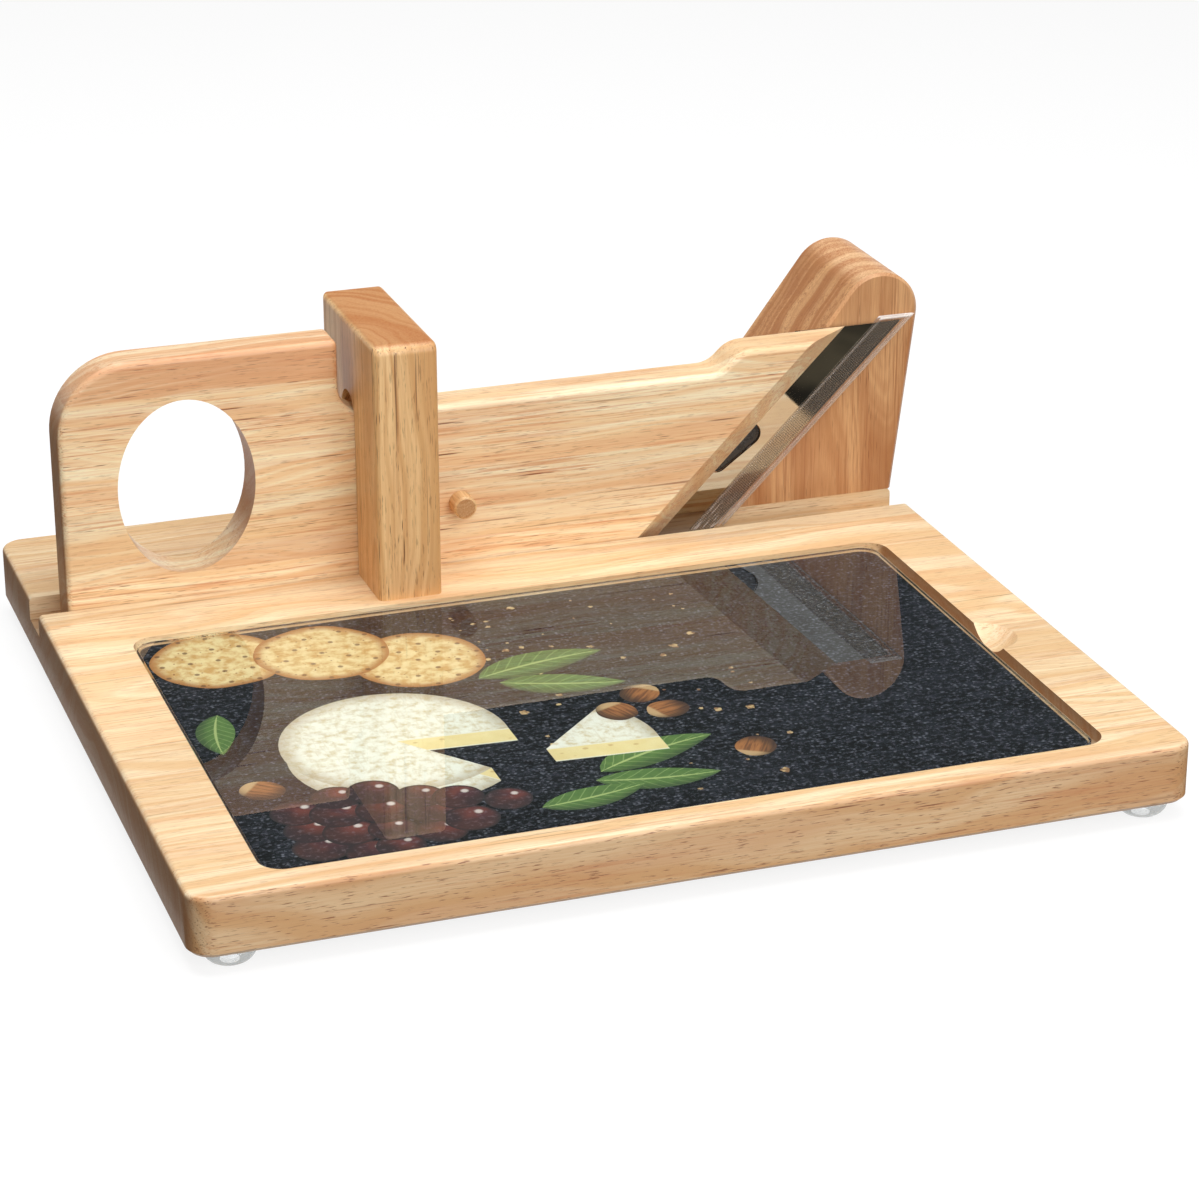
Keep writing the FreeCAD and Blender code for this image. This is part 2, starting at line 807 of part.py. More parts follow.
def draw_slot(sketch):
    """A round-ended slot, turned a little from the blade's edge."""
    angle = "slot_turn * 1 deg"
    half = "(slot_length - slot_width) / 2"
    ends = []
    for sign in ("-", "+"):
        x = f"slot_run {sign} {half} * cos({angle})"
        y = f"-slot_back {sign} {half} * sin({angle})"
        ends.append((x, y))
    radius = size_of("slot_width") / 2
    along = point_at(*ends[1]) - point_at(*ends[0])
    along.normalize()
    side = Vector(-along.y, along.x, 0) * radius
    arcs = []
    for (x, y), way in zip(ends, (-1, 1)):
        centre = point_at(x, y)
        tip = centre + along * radius * way
        arc = sketch.addGeometry(Part.Arc(centre - side * way, tip, centre + side * way), False)
        fix_point(sketch, arc, 3, x, y)
        drive(sketch, Sketcher.Constraint("Radius", arc, radius), "slot_width / 2")
        arcs.append(arc)
    for way in (-1, 1):
        start = point_at(*ends[0]) + side * way
        stop = point_at(*ends[1]) + side * way
        line = sketch.addGeometry(Part.LineSegment(start, stop), False)
        first = arc_ends(sketch, arcs[0], start)[0]
        second = arc_ends(sketch, arcs[1], stop)[0]
        sketch.addConstraint(Sketcher.Constraint("Tangent", line, 1, arcs[0], first))
        sketch.addConstraint(Sketcher.Constraint("Tangent", line, 2, arcs[1], second))


def make_blade_guard():
    """A folded strip of clear plastic, pushed over the cutting edge and cut level at its ends."""
    body = new_body("blade_guard")
    skin = "guard_play + guard_wall"
    fold = "blade_show + guard_over"
    mouth = f"{fold} - guard_depth"
    low = "guard_start * sqrt(2)"
    high = "guard_stop * sqrt(2)"
    outline = new_sketch(body, "outline", "XY_Plane", f"-({skin})")
    draw_outline(
        outline,
        [
            (f"{low} + {mouth}", mouth),
            (f"{high} + {mouth}", mouth),
            (f"{high} + {fold}", fold),
            (f"{low} + {fold}", fold),
        ],
    )
    add_feature(body, "Pad", "strip", outline, Length=f"blade_thick + 2 * ({skin})")
    fold_line = size_of(fold)
    dress_edges(
        body,
        "Fillet",
        "fold",
        lambda edge: lies_at(edge, "Y", fold_line) and edge.BoundBox.XLength > edge.BoundBox.ZLength,
        Radius="guard_wall",
    )

    channel = new_sketch(body, "channel", "YZ_Plane")
    floor = f"{fold} - guard_wall"
    draw_outline(
        channel,
        [
            (f"{mouth} - 1", "-guard_play"),
            (floor, "-guard_play"),
            (floor, "blade_thick + guard_play"),
            (f"{mouth} - 1", "blade_thick + guard_play"),
        ],
    )
    cut_feature(body, "Pocket", "channel_cut", channel, Type="ThroughAll", Midplane=True)
    put_on_slider(body, "panel_foot", "panel_thick - seat_depth", "0", BLADE_TURN)
    return body


# Screws


def make_solid(kind, name, **sizes):
    """A Part primitive whose sizes are bound as expressions."""
    solid = doc.addObject(f"Part::{kind}", name)
    for key, text in sizes.items():
        solid.setExpression(key, bound(text))
    return solid


def make_screw(name, head, shank):
    """A head and a shank in one piece."""
    screw = doc.addObject("Part::MultiFuse", name)
    screw.Shapes = [head, shank]
    return screw


def make_long_screw(name):
    """A flat-headed wood screw that points up from the origin, without its thread."""
    head = make_solid("Cylinder", f"{name}_head", Radius="screw_head / 2", Height="screw_disc")
    shank = make_solid(
        "Cylinder", f"{name}_shank", Radius="screw_shank / 2", Height="screw_length"
    )
    return make_screw(name, head, shank)


def make_blade_screw(name):
    """A countersunk stub screw that points up from the origin, without its thread."""
    cone = "(stub_head - stub_shank) / 2"
    head = make_solid(
        "Cone", f"{name}_head", Radius1="stub_head / 2", Radius2="stub_shank / 2", Height=cone
    )
    shank = make_solid("Cylinder", f"{name}_shank", Radius="stub_shank / 2", Height="stub_length")
    return make_screw(name, head, shank)


def group_screws(label, screws):
    """Identical screws as one node of separate solids."""
    group = doc.addObject("Part::Compound", label)
    group.Label = label
    group.Links = screws
    return group


def make_long_screws(label, places):
    screws = []
    for number, (x, y) in enumerate(places, start=1):
        screw = make_long_screw(f"{label}_{number}")
        put(screw, x, y, "screw_sink - screw_disc")
        screws.append(screw)
    return group_screws(label, screws)


def make_blade_screws():
    screws = []
    to_front = Rotation(Vector(1, 0, 0), 90)
    for number, (x, z) in enumerate(blade_screw_places(), start=1):
        screw = make_blade_screw(f"blade_screws_{number}")
        put_on_slider(screw, x, "panel_thick - seat_depth + blade_thick", z, to_front)
        screws.append(screw)
    return group_screws("blade_screws", screws)


# Assembly


def main():
    bodies = [
        make_base_board(),
        make_guide_post(),
        make_backing_block(),
        make_slider_panel(),
        make_blade(),
        make_blade_guard(),
        make_lock_peg(),
        make_glass_plate(),
        make_glass_print(),
        *make_feet(),
        make_long_screws("post_screws", POST_SCREWS),
        make_long_screws("block_screws", BLOCK_SCREWS),
        make_blade_screws(),
    ]
    doc.recompute()
    for item in doc.Objects:
        if "Invalid" in item.State or "Error" in item.State:
            raise RuntimeError(f"{item.Name} did not recompute: {item.State}")
    for body in bodies:
        shape = body.Shape
        if shape.isNull() or not shape.isValid() or not shape.Solids:
            raise RuntimeError(f"{body.Label} is not a valid solid")
    for body in bodies:
        body.Shape.exportStep(f"parts/{body.Label}.step")
        box = body.Shape.BoundBox
        print(
            f"{body.Label}: {box.XLength:.1f} x {box.YLength:.1f} x {box.ZLength:.1f} mm,"
            f" {body.Shape.Volume / 1000:.1f} cm3"
        )


main()
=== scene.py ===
import math
import random

import bmesh
import bpy
from mathutils import Matrix, Vector, noise


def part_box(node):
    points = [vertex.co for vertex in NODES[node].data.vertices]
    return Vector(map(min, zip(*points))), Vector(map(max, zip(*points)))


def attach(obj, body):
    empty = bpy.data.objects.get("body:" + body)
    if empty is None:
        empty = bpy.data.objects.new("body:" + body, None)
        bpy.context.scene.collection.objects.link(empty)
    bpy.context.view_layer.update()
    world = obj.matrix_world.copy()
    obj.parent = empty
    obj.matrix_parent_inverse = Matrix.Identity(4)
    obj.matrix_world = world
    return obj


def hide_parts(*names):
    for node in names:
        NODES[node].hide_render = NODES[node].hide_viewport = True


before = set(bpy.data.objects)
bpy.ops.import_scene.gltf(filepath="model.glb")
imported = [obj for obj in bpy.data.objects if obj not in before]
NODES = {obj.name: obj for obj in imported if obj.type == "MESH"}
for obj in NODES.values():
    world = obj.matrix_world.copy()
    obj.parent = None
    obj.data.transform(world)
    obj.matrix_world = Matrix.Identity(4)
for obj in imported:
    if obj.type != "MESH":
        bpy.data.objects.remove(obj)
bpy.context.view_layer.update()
MM = 0.001

# Camera, solved from the straight edges of the board, the panel and the recess
CAMERA_PLACE = (-0.3919, -1.1608, 0.5490)
CAMERA_YAW = 19.18
CAMERA_PITCH = 22.47
CAMERA_ROLL = -0.083
FOCAL_PIXELS = 3548.5
PHOTO_SIDE = 1199
SENSOR = 36.0

# Levels of the model, in millimetres
FLOOR = 0.0
PRINT_LOW = 23.6
PRINT_FACE = 23.68
FRONT_FACE = -150.0
RECESS_RIGHT = 147.4
BLADE_LEAN = (0.06, 0.0, -0.08)


# Node graphs


def srgb(red, green, blue):
    """A screen colour of 0 to 255 as the linear colour that shaders take."""
    levels = []
    for level in (red, green, blue):
        share = level / 255
        levels.append(share / 12.92 if share <= 0.04045 else ((share + 0.055) / 1.055) ** 2.4)
    return (*levels, 1.0)


def is_socket(value):
    return isinstance(value, bpy.types.NodeSocket)


class Graph:
    """A material's node tree. Each method adds a node and returns its output."""

    def __init__(self, name):
        self.material = bpy.data.materials.new(name)
        self.material.use_nodes = True
        self.tree = self.material.node_tree
        self.tree.nodes.clear()

    def node(self, kind, inputs=(), **settings):
        node = self.tree.nodes.new(f"ShaderNode{kind}")
        for key, value in settings.items():
            setattr(node, key, value)
        for key, value in dict(inputs).items():
            if is_socket(value):
                self.tree.links.new(value, node.inputs[key])
            else:
                node.inputs[key].default_value = value
        return node

    def math(self, operation, first, second=0.0, third=0.0, clamp=False):
        node = self.node(
            "Math", {0: first, 1: second, 2: third}, operation=operation, use_clamp=clamp
        )
        return node.outputs[0]

    def add(self, first, second):
        return self.math("ADD", first, second)

    def times(self, first, second):
        return self.math("MULTIPLY", first, second)

    def ease(self, value, low, high, start=0.0, stop=1.0):
        """A smooth rise of value from start at low to stop at high."""
        inputs = {"Value": value, 1: low, 2: high, 3: start, 4: stop}
        node = self.node("MapRange", inputs, interpolation_type="SMOOTHSTEP")
        return node.outputs[0]

    def vector(self, x, y, z=0.0):
        return self.node("CombineXYZ", {0: x, 1: y, 2: z}).outputs[0]

    def split(self, vector):
        return list(self.node("SeparateXYZ", {0: vector}).outputs)

    def mix(self, share, first, second, blend="MIX"):
        node = self.node("Mix", {0: share, 6: first, 7: second}, data_type="RGBA", blend_type=blend)
        return node.outputs[2]

    def grey(self, level):
        return self.node("CombineColor", {0: level, 1: level, 2: level}).outputs[0]

    def noise(self, vector, detail=2.0, rough=0.5):
        inputs = {"Vector": vector, "Scale": 1.0, "Detail": detail, "Roughness": rough}
        return self.node("TexNoise", inputs).outputs[0]

    def scatter(self, vector, loose=1.0):
        """Distance to the nearest scattered point, and a random value of that point."""
        inputs = {"Vector": vector, "Scale": 1.0, "Randomness": loose}
        node = self.node("TexVoronoi", inputs)
        return node.outputs["Distance"], self.split(node.outputs["Color"])[0]

    def random(self, number):
        """A random value that is the same for the same number."""
        return self.node("TexWhiteNoise", {"W": number}, noise_dimensions="1D").outputs["Value"]

    def bump(self, height, distance, strength=1.0, normal=None):
        inputs = {"Height": height, "Distance": distance, "Strength": strength}
        if normal is not None:
            inputs["Normal"] = normal
        return self.node("Bump", inputs).outputs[0]

    def place(self):
        """The point in the object's own frame, in millimetres, as three numbers."""
        point = self.node("TexCoord").outputs["Object"]
        scaled = self.node("VectorMath", {0: point, 3: 1 / MM}, operation="SCALE")
        return self.split(scaled.outputs[0])

    def drawing(self):
        """The point on a printed motif, as two numbers that are 1 at its rim."""
        return self.split(self.node("UVMap").outputs[0])[:2]

    def facing(self):
        """The surface's direction as three numbers."""
        return self.split(self.node("NewGeometry").outputs["Normal"])

    def principled(self, **sockets):
        """The Principled shader. Underscores stand for spaces."""
        inputs = {key.replace("_", " "): value for key, value in sockets.items()}
        return self.node("BsdfPrincipled", inputs).outputs[0]

    def finish(self, shader):
        self.node("OutputMaterial", {"Surface": shader})
        return self.material


# Wood


class Timber:
    """The place in a piece of wood, along its grain and across it, shifted from stave to stave."""

    def __init__(self, g, grain, offset, staves, across):
        self.g = g
        place = g.place()
        side, rise = [place[axis] for axis in (0, 1, 2) if axis != grain]
        along = g.add(place[grain], offset)
        stave = 0.0
        for line in staves:
            stave = g.add(stave, g.math("GREATER_THAN", place[across], line))
        self.stave = stave
        if staves:
            along = g.add(along, g.times(stave, 311.0))
            side = g.add(side, g.times(stave, 43.0))
            rise = g.add(rise, g.times(stave, 17.0))
        self.along = along
        self.side = side
        self.rise = rise

    def drawn_out(self, length, width):
        """The place in units of this length along the grain and this width across it."""
        g = self.g
        return g.vector(
            g.times(self.along, 1 / length),
            g.times(self.side, 1 / width),
            g.times(self.rise, 1 / width),
        )

    def streaks(self, length, width, detail=2.0, rough=0.5):
        return self.g.noise(self.drawn_out(length, width), detail, rough)

    def dashes(self, length, width, share):
        """Lens-shaped marks of about this length and width, in this share of their cells."""
        g = self.g
        distance, chance = g.scatter(self.drawn_out(length * 2.6, width * 2.6))
        size = g.math("MULTIPLY_ADD", chance, 0.12 / share, 0.14)
        shape = g.ease(g.math("DIVIDE", distance, size), 1.0, 0.35)
        return g.times(shape, g.math("LESS_THAN", chance, share))

    def rings(self, core, pitch):
        """Growth rings round the tree's middle, which lies beside the piece at core."""
        g = self.g
        side = g.math("POWER", g.add(self.side, -core[0]), 2.0)
        rise = g.math("POWER", g.add(self.rise, -core[1]), 2.0)
        wander = g.times(g.add(self.streaks(150, 42), -0.5), 30.0)
        radius = g.add(g.math("SQRT", g.add(side, rise)), wander)
        vector = g.vector(g.times(radius, 1 / pitch), g.times(self.along, 1 / 900))
        return g.noise(vector, 3.0, 0.65)


def wood(name, grain, tones, offset, core, staves=(), across=1, pitch=4.5, marks=(1.0, 1.0, 1.0),
         edge=(1.0, 1.0, 1.0, 1.0), ruddy=None, shade_below=0.0):
    """Oiled rubberwood with its grain along axis grain. tones are its light, dark, reddish, pore
    and end colours. marks are the strengths of its pores, of its long dark marks and of its
    reddish streaks, edge tints the board's front face, the wood past ruddy is redder, and
    up-facing floors below the level that the last argument gives, such as the recess's floor, get a darker
    painted shade."""
    light, dark, red, pore, end = tones
    g = Graph(name)
    timber = Timber(g, grain, offset, staves, across)
    facing = g.facing()
    front = g.ease(g.times(facing[1], -1.0), 0.55, 0.95)
    outer_front = g.ease(g.times(facing[1], -1.0), 0.25, 0.60)
    outer_front = g.times(outer_front, g.math("LESS_THAN", g.place()[1], FRONT_FACE))

    # Growth rings under broad clouds of reddish wood and fine fibres
    rings = g.ease(timber.rings(core, pitch), 0.38, 0.60)
    colour = g.mix(rings, light, dark)
    clouds = g.ease(timber.streaks(110, 12, 3.0), 0.46, 0.68)
    colour = g.mix(g.times(clouds, 0.50 * marks[2]), colour, red)
    crowded = g.ease(timber.streaks(80, 8), 0.36, 0.60, 0.20, 1.0)
    lines = g.times(g.ease(timber.streaks(55, 0.9, 3.0, 0.65), 0.49, 0.63), crowded)
    colour = g.mix(g.times(lines, 0.85 * marks[2]), colour, red)
    fibres = timber.streaks(14, 0.34, 2.0, 0.7)
    colour = g.mix(g.times(g.ease(fibres, 0.42, 0.66), 0.12 + 0.40 * marks[2]), colour, dark)
    veins = g.ease(timber.streaks(120, 1.5, 2.0, 0.7), 0.63, 0.72)
    veins = g.times(veins, g.ease(timber.streaks(60, 20), 0.42, 0.58))
    colour = g.mix(g.times(veins, 0.55 * marks[1]), colour, pore)
    if staves:
        shade = g.math("MULTIPLY_ADD", g.random(timber.stave), 0.12, 0.90)
        colour = g.mix(1.0, colour, g.grey(shade), "MULTIPLY")
    if ruddy is not None:
        past = g.ease(g.add(g.place()[across], g.times(fibres, 1.2)), ruddy, ruddy + 1.2)
        heart = g.mix(g.add(0.25, g.times(rings, 0.45)), colour, red)
        colour = g.mix(g.times(past, 0.85), colour, heart)

    # Open pores, as fine dashes and as longer dark marks
    pores = g.times(timber.dashes(5.5, 0.36, 0.70), crowded)
    pores = g.times(pores, g.math("MULTIPLY_ADD", front, 0.25, 0.70 * marks[0]))
    long_marks = g.times(timber.dashes(15.0, 0.62, 0.42), g.ease(timber.streaks(60, 8), 0.40, 0.56))
    long_marks = g.times(long_marks, g.math("MULTIPLY_ADD", front, 0.40 * marks[1], 0.5 * marks[1]))
    sawn = g.ease(timber.streaks(6.5, 0.50, 2.0, 0.55), 0.585, 0.68)
    sawn = g.times(sawn, g.math("MULTIPLY_ADD", outer_front, 0.50, 0.26 * marks[1]))
    open_grain = g.math("MAXIMUM", pores, long_marks, clamp=True)
    open_grain = g.math("MAXIMUM", open_grain, sawn)
    colour = g.mix(open_grain, colour, pore)
    colour = g.mix(outer_front, colour, g.mix(1.0, colour, edge, "MULTIPLY"))

    # Painted shade: up-facing floors below the given level and left of the recess's right wall are darkened,
    # as if shaded
    recess_shade = g.times(g.math("LESS_THAN", g.place()[2], shade_below), g.ease(facing[2], 0.5, 0.9))
    recess_shade = g.times(recess_shade, g.math("LESS_THAN", g.place()[0], RECESS_RIGHT))
    colour = g.mix(g.times(recess_shade, 0.75), colour, g.mix(1.0, colour, srgb(140, 120, 108), "MULTIPLY"))

    # End grain drinks the oil, turns dark and shows the rings as arcs
    cut = g.ease(g.math("ABSOLUTE", facing[grain]), 0.70, 0.98)
    specks = g.ease(timber.streaks(40, 0.6, 2.0), 0.40, 0.62)
    arcs = g.math("MULTIPLY_ADD", rings, 0.45, g.times(specks, 0.40), clamp=True)
    cut_tone = g.mix(arcs, end, g.mix(1.0, end, dark, "MULTIPLY"))
    colour = g.mix(g.times(cut, 0.85), colour, cut_tone)

    rough = g.add(g.add(0.36, g.times(fibres, 0.20)), g.times(cut, 0.16))
    height = g.add(g.times(open_grain, -0.8), g.times(fibres, 0.25))
    return g.finish(g.principled(
        Base_Color=colour, Roughness=rough, Normal=g.bump(height, 0.12 * MM, 0.6), IOR=1.45,
        Coat_Weight=0.2, Coat_Roughness=0.18,
    ))


def board_wood():
    tones = (
        srgb(255, 234, 196), srgb(238, 200, 150), srgb(222, 162, 114), srgb(146, 92, 52),
        srgb(172, 128, 92),
    )
    return wood(
        "board_rubberwood", 0, tones, 12.0, (70, -90), staves=(-104.0, -46.0, 14.0, 72.0, 128.0),
        edge=srgb(230, 214, 200), marks=(0.8, 1.2, 0.7), shade_below=24.5,
    )


def panel_wood():
    tones = (
        srgb(255, 240, 204), srgb(243, 205, 156), srgb(218, 152, 106), srgb(136, 76, 40),
        srgb(172, 126, 88),
    )
    return wood(
        "panel_rubberwood", 0, tones, 431.0, (30, -60), staves=(38.0, 66.5, 110.0), across=2,
        marks=(0.9, 1.1, 1.0), ruddy=110.0,
    )


def post_wood():
    tones = (
        srgb(244, 204, 148), srgb(216, 164, 106), srgb(198, 136, 80), srgb(118, 70, 32),
        srgb(196, 142, 92),
    )
    return wood("post_rubberwood", 2, tones, 77.0, (-120, 40), marks=(1.2, 1.7, 0.6))


def block_wood():
    tones = (
        srgb(226, 176, 124), srgb(184, 124, 76), srgb(164, 102, 60), srgb(118, 70, 38),
        srgb(244, 206, 160),
    )
    return wood("block_rubberwood", 2, tones, 903.0, (150, 210), pitch=7.0, marks=(0.6, 0.5, 0.8))


def peg_wood():
    tones = (
        srgb(238, 202, 150), srgb(216, 172, 118), srgb(194, 144, 92), srgb(124, 82, 46),
        srgb(190, 150, 104),
    )
    return wood("peg_dowel", 1, tones, 5.0, (-17, 61), pitch=2.0)


# Steel, glass and plastic


def blade_steel():
    """Polished strip that leans a little, with a ground bevel ribbed square to its edge, the dips between its
    ribs darkened with painted shade.
    """
    g = Graph("blade_steel")
    x, y, z = g.place()
    out = g.times(g.math("SUBTRACT", x, z), math.sqrt(0.5))
    run = g.times(g.add(x, z), math.sqrt(0.5))
    ground = g.ease(out, 44.6, 44.9)
    rib = g.math("PINGPONG", run, 0.45)
    groove_depth_and_shade = g.times(ground, g.ease(rib, 0.05, 0.30, 1.0, 0.0))
    polish = g.noise(g.vector(g.times(run, 0.05), g.times(out, 3.0), y), 3.0, 0.6)
    haze = g.noise(g.vector(g.times(x, 0.05), g.times(z, 0.05), y), 2.0)
    rough = g.add(g.add(0.02, g.times(haze, 0.04)), g.times(ground, 0.07))
    tint = g.mix(haze, srgb(208, 206, 200), srgb(184, 182, 176))
    tint = g.mix(g.times(ground, 0.5), tint, srgb(168, 162, 152))
    # Painted shade: the dips between the bevel's ribs are darkened
    tint = g.mix(g.times(groove_depth_and_shade, 0.50), tint, srgb(70, 64, 56))
    height = g.add(g.times(groove_depth_and_shade, -0.35), g.times(polish, 0.05))
    straight = g.node("NewGeometry").outputs["Normal"]
    leaning = g.node("VectorMath", {0: straight, 1: BLADE_LEAN}, operation="ADD").outputs[0]
    leaning = g.node("VectorMath", {0: leaning}, operation="NORMALIZE").outputs[0]
    return g.finish(g.principled(
        Base_Color=tint, Metallic=1.0, Roughness=rough,
        Normal=g.bump(height, 0.02 * MM, 0.5, leaning),
    ))


def slot_shade_fill():
    """A dark fill inside the blade's slot, painted shade where the slot looks dark."""
    g = Graph("slot_shade_fill")
    x, y, z = g.place()
    spots = g.noise(g.vector(g.times(x, 0.6), y, g.times(z, 0.6)), 3.0)
    # Painted shade: near-black tones for the dark seen in the slot
    tint = g.mix(spots, srgb(26, 26, 28), srgb(48, 46, 46))
    return g.finish(g.principled(
        Base_Color=tint, Roughness=g.add(0.18, g.times(spots, 0.2)),
        Normal=g.bump(spots, 0.05 * MM, 0.4), IOR=1.5,
    ))


def let_light_through(g, shader, tint):
    """The shader, with lamps shining straight through it."""
    ray = g.node("LightPath").outputs["Is Shadow Ray"]
    open_way = g.node("BsdfTransparent", {"Color": tint}).outputs[0]
    return g.node("MixShader", {0: ray, 1: shader, 2: open_way}).outputs[0]


def clear_glass():
    """Float glass, greener where the eye meets its ground edges. The print is bonded to its
    underside, so that face shows no reflection of its own."""
    g = Graph("clear_glass")
    x, y, z = g.place()
    side = g.ease(g.math("ABSOLUTE", g.facing()[2]), 0.95, 0.2)
    tint = g.mix(side, srgb(250, 253, 252), srgb(196, 214, 206))
    smear = g.noise(g.vector(g.times(x, 0.02), g.times(y, 0.03), z), 3.0)
    ground = g.noise(g.vector(x, y, g.times(z, 3.0)), 2.0)
    rough = g.add(g.times(g.ease(smear, 0.55, 0.8), 0.010), g.times(side, 0.18))
    normal = g.bump(g.times(ground, side), 0.05 * MM, 0.5)
    glass = g.principled(
        Base_Color=tint, Roughness=rough, Normal=normal, IOR=1.52, Transmission_Weight=1.0
    )
    bonded = g.math("LESS_THAN", z, PRINT_FACE + 0.2)
    open_way = g.node("BsdfTransparent", {"Color": srgb(252, 254, 253)}).outputs[0]
    glass = g.node("MixShader", {0: bonded, 1: glass, 2: open_way}).outputs[0]
    return g.finish(let_light_through(g, glass, srgb(226, 231, 228)))


def clear_plastic():
    """Thin folded film: clear and finely ribbed, with painted highlights that whiten it along its fold, its
    mouth, its ends, its ribs and creases, and at grazing angles.
    """
    g = Graph("clear_plastic")
    x, y, z = g.place()
    out = g.times(g.math("SUBTRACT", x, z), math.sqrt(0.5))
    run = g.times(g.add(x, z), math.sqrt(0.5))
    # Masks for painted highlights: the fold, the inner fold line, the mouth, the top end, the ribs and the
    # creases near the lower end
    fold = g.ease(out, 54.4, 55.2)
    inner = g.ease(g.math("ABSOLUTE", g.add(out, -53.2)), 0.30, 0.08)
    mouth = g.ease(out, 45.1, 44.9)
    end = g.ease(z, 103.0, 103.9)
    ribs = g.ease(g.math("PINGPONG", run, 0.45), 0.28, 0.42)
    creases = g.noise(g.vector(g.times(run, 0.10), g.times(out, 0.9), g.times(y, 0.3)), 3.0, 0.6)
    crumple = g.times(g.ease(z, 38.0, 22.0), g.ease(creases, 0.50, 0.60))
    scuffs = g.noise(g.vector(g.times(x, 1.5), y, g.times(z, 1.5)), 2.0)
    glare = g.node("LayerWeight", {"Blend": 0.25}).outputs["Fresnel"]
    # Painted highlights: more white film where the masks and the grazing glare are high
    painted_highlights = g.add(g.math("MULTIPLY_ADD", glare, 0.20, 0.02), g.times(fold, 0.30))
    painted_highlights = g.add(painted_highlights, g.math("MAXIMUM", g.times(inner, 0.20), g.times(mouth, 0.07)))
    painted_highlights = g.add(painted_highlights, g.times(g.math("SUBTRACT", 1.0, fold), g.times(ribs, 0.045)))
    painted_highlights = g.math("ADD", painted_highlights, g.math("MAXIMUM", g.times(end, 0.75), g.times(crumple, 0.35)), clamp=True)
    rough = g.add(0.06, g.times(g.ease(scuffs, 0.5, 0.8), 0.15))
    film = g.principled(
        Base_Color=srgb(250, 240, 232), Roughness=rough, Normal=g.bump(creases, 0.6 * MM, 0.5),
        IOR=1.5, Coat_Weight=0.4, Coat_Roughness=0.05,
    )
    open_way = g.node("BsdfTransparent", {"Color": srgb(252, 250, 247)}).outputs[0]
    return g.finish(g.node("MixShader", {0: painted_highlights, 1: open_way, 2: film}).outputs[0])


def bumper_plastic():
    """Soft clear dome, faintly cloudy and greyer towards its rim."""
    g = Graph("bumper_plastic")
    x, y, z = g.place()
    cloud = g.noise(g.vector(g.times(x, 0.2), g.times(y, 0.2), g.times(z, 0.3)), 3.0)
    rough = g.add(0.05, g.times(cloud, 0.06))
    tint = g.mix(cloud, srgb(250, 252, 252), srgb(240, 244, 245))
    dome = g.principled(
        Base_Color=tint, Roughness=rough, Normal=g.bump(cloud, 0.1 * MM, 0.3), IOR=1.40,
        Transmission_Weight=0.7,
    )
    rim = g.node("LayerWeight", {"Blend": 0.5}).outputs["Facing"]
    open_way = g.node("BsdfTransparent", {"Color": srgb(248, 250, 250)}).outputs[0]
    body = g.math("MULTIPLY_ADD", rim, 0.45, 0.25)
    dome = g.node("MixShader", {0: body, 1: open_way, 2: dome}).outputs[0]
    return g.finish(let_light_through(g, dome, srgb(240, 243, 243)))


def screw_steel():
    g = Graph("screw_steel")
    x, y, z = g.place()
    spots = g.noise(g.vector(x, y, z), 3.0)
    fine = g.noise(g.vector(g.times(x, 6.0), g.times(y, 6.0), g.times(z, 6.0)), 2.0)
    tint = g.mix(spots, srgb(208, 204, 186), srgb(150, 146, 132))
    return g.finish(g.principled(
        Base_Color=tint, Metallic=1.0, Roughness=g.add(0.25, g.times(spots, 0.3)),
        Normal=g.bump(fine, 0.03 * MM, 0.4),
    ))


# Materials of the print under the glass


def slate():
    """Dark slate with fine layers, grit and glints of mica."""
    g = Graph("print_slate")
    x, y, z = g.place()
    broad = g.noise(g.vector(g.times(x, 0.02), g.times(y, 0.03)), 4.0, 0.6)
    layers = g.noise(g.vector(g.times(x, 0.10), g.times(y, 0.30), 3.0), 5.0, 0.7)
    grit = g.noise(g.vector(g.times(x, 0.42), g.times(y, 0.55), 7.0), 4.0, 0.85)
    distance, chance = g.scatter(g.vector(g.times(x, 0.55), g.times(y, 0.65), 5.0))
    glints = g.times(g.ease(distance, 0.45, 0.10), g.math("LESS_THAN", chance, 0.40))
    colour = g.mix(g.ease(broad, 0.35, 0.7), srgb(13, 13, 16), srgb(25, 25, 30))
    colour = g.mix(g.times(g.ease(layers, 0.46, 0.70), 0.60), colour, srgb(52, 54, 63))
    colour = g.mix(g.times(g.ease(grit, 0.50, 0.66), 0.80), colour, srgb(86, 88, 99))
    colour = g.mix(g.times(glints, g.ease(layers, 0.35, 0.6, 0.2, 0.6)), colour, srgb(124, 126, 139))
    rough = g.add(0.6, g.times(grit, 0.2))
    return g.finish(g.principled(
        Base_Color=colour, Roughness=rough, Normal=g.bump(grit, 0.05 * MM, 0.3),
        Specular_IOR_Level=0.15,
    ))


def printed(g, colour):
    """Ends a motif's graph as matt ink, with the print's fine grain."""
    x, y, z = g.place()
    grain = g.noise(g.vector(g.times(x, 2.5), g.times(y, 2.5)), 2.0)
    shade = g.math("MULTIPLY_ADD", grain, 0.16, 0.64)
    inked = g.mix(1.0, colour, g.grey(shade), "MULTIPLY")
    return g.finish(g.principled(Base_Color=inked, Roughness=g.add(0.5, g.times(grain, 0.2))))


def rim_share(g, u, v):
    return g.math("SQRT", g.add(g.times(u, u), g.times(v, v)))


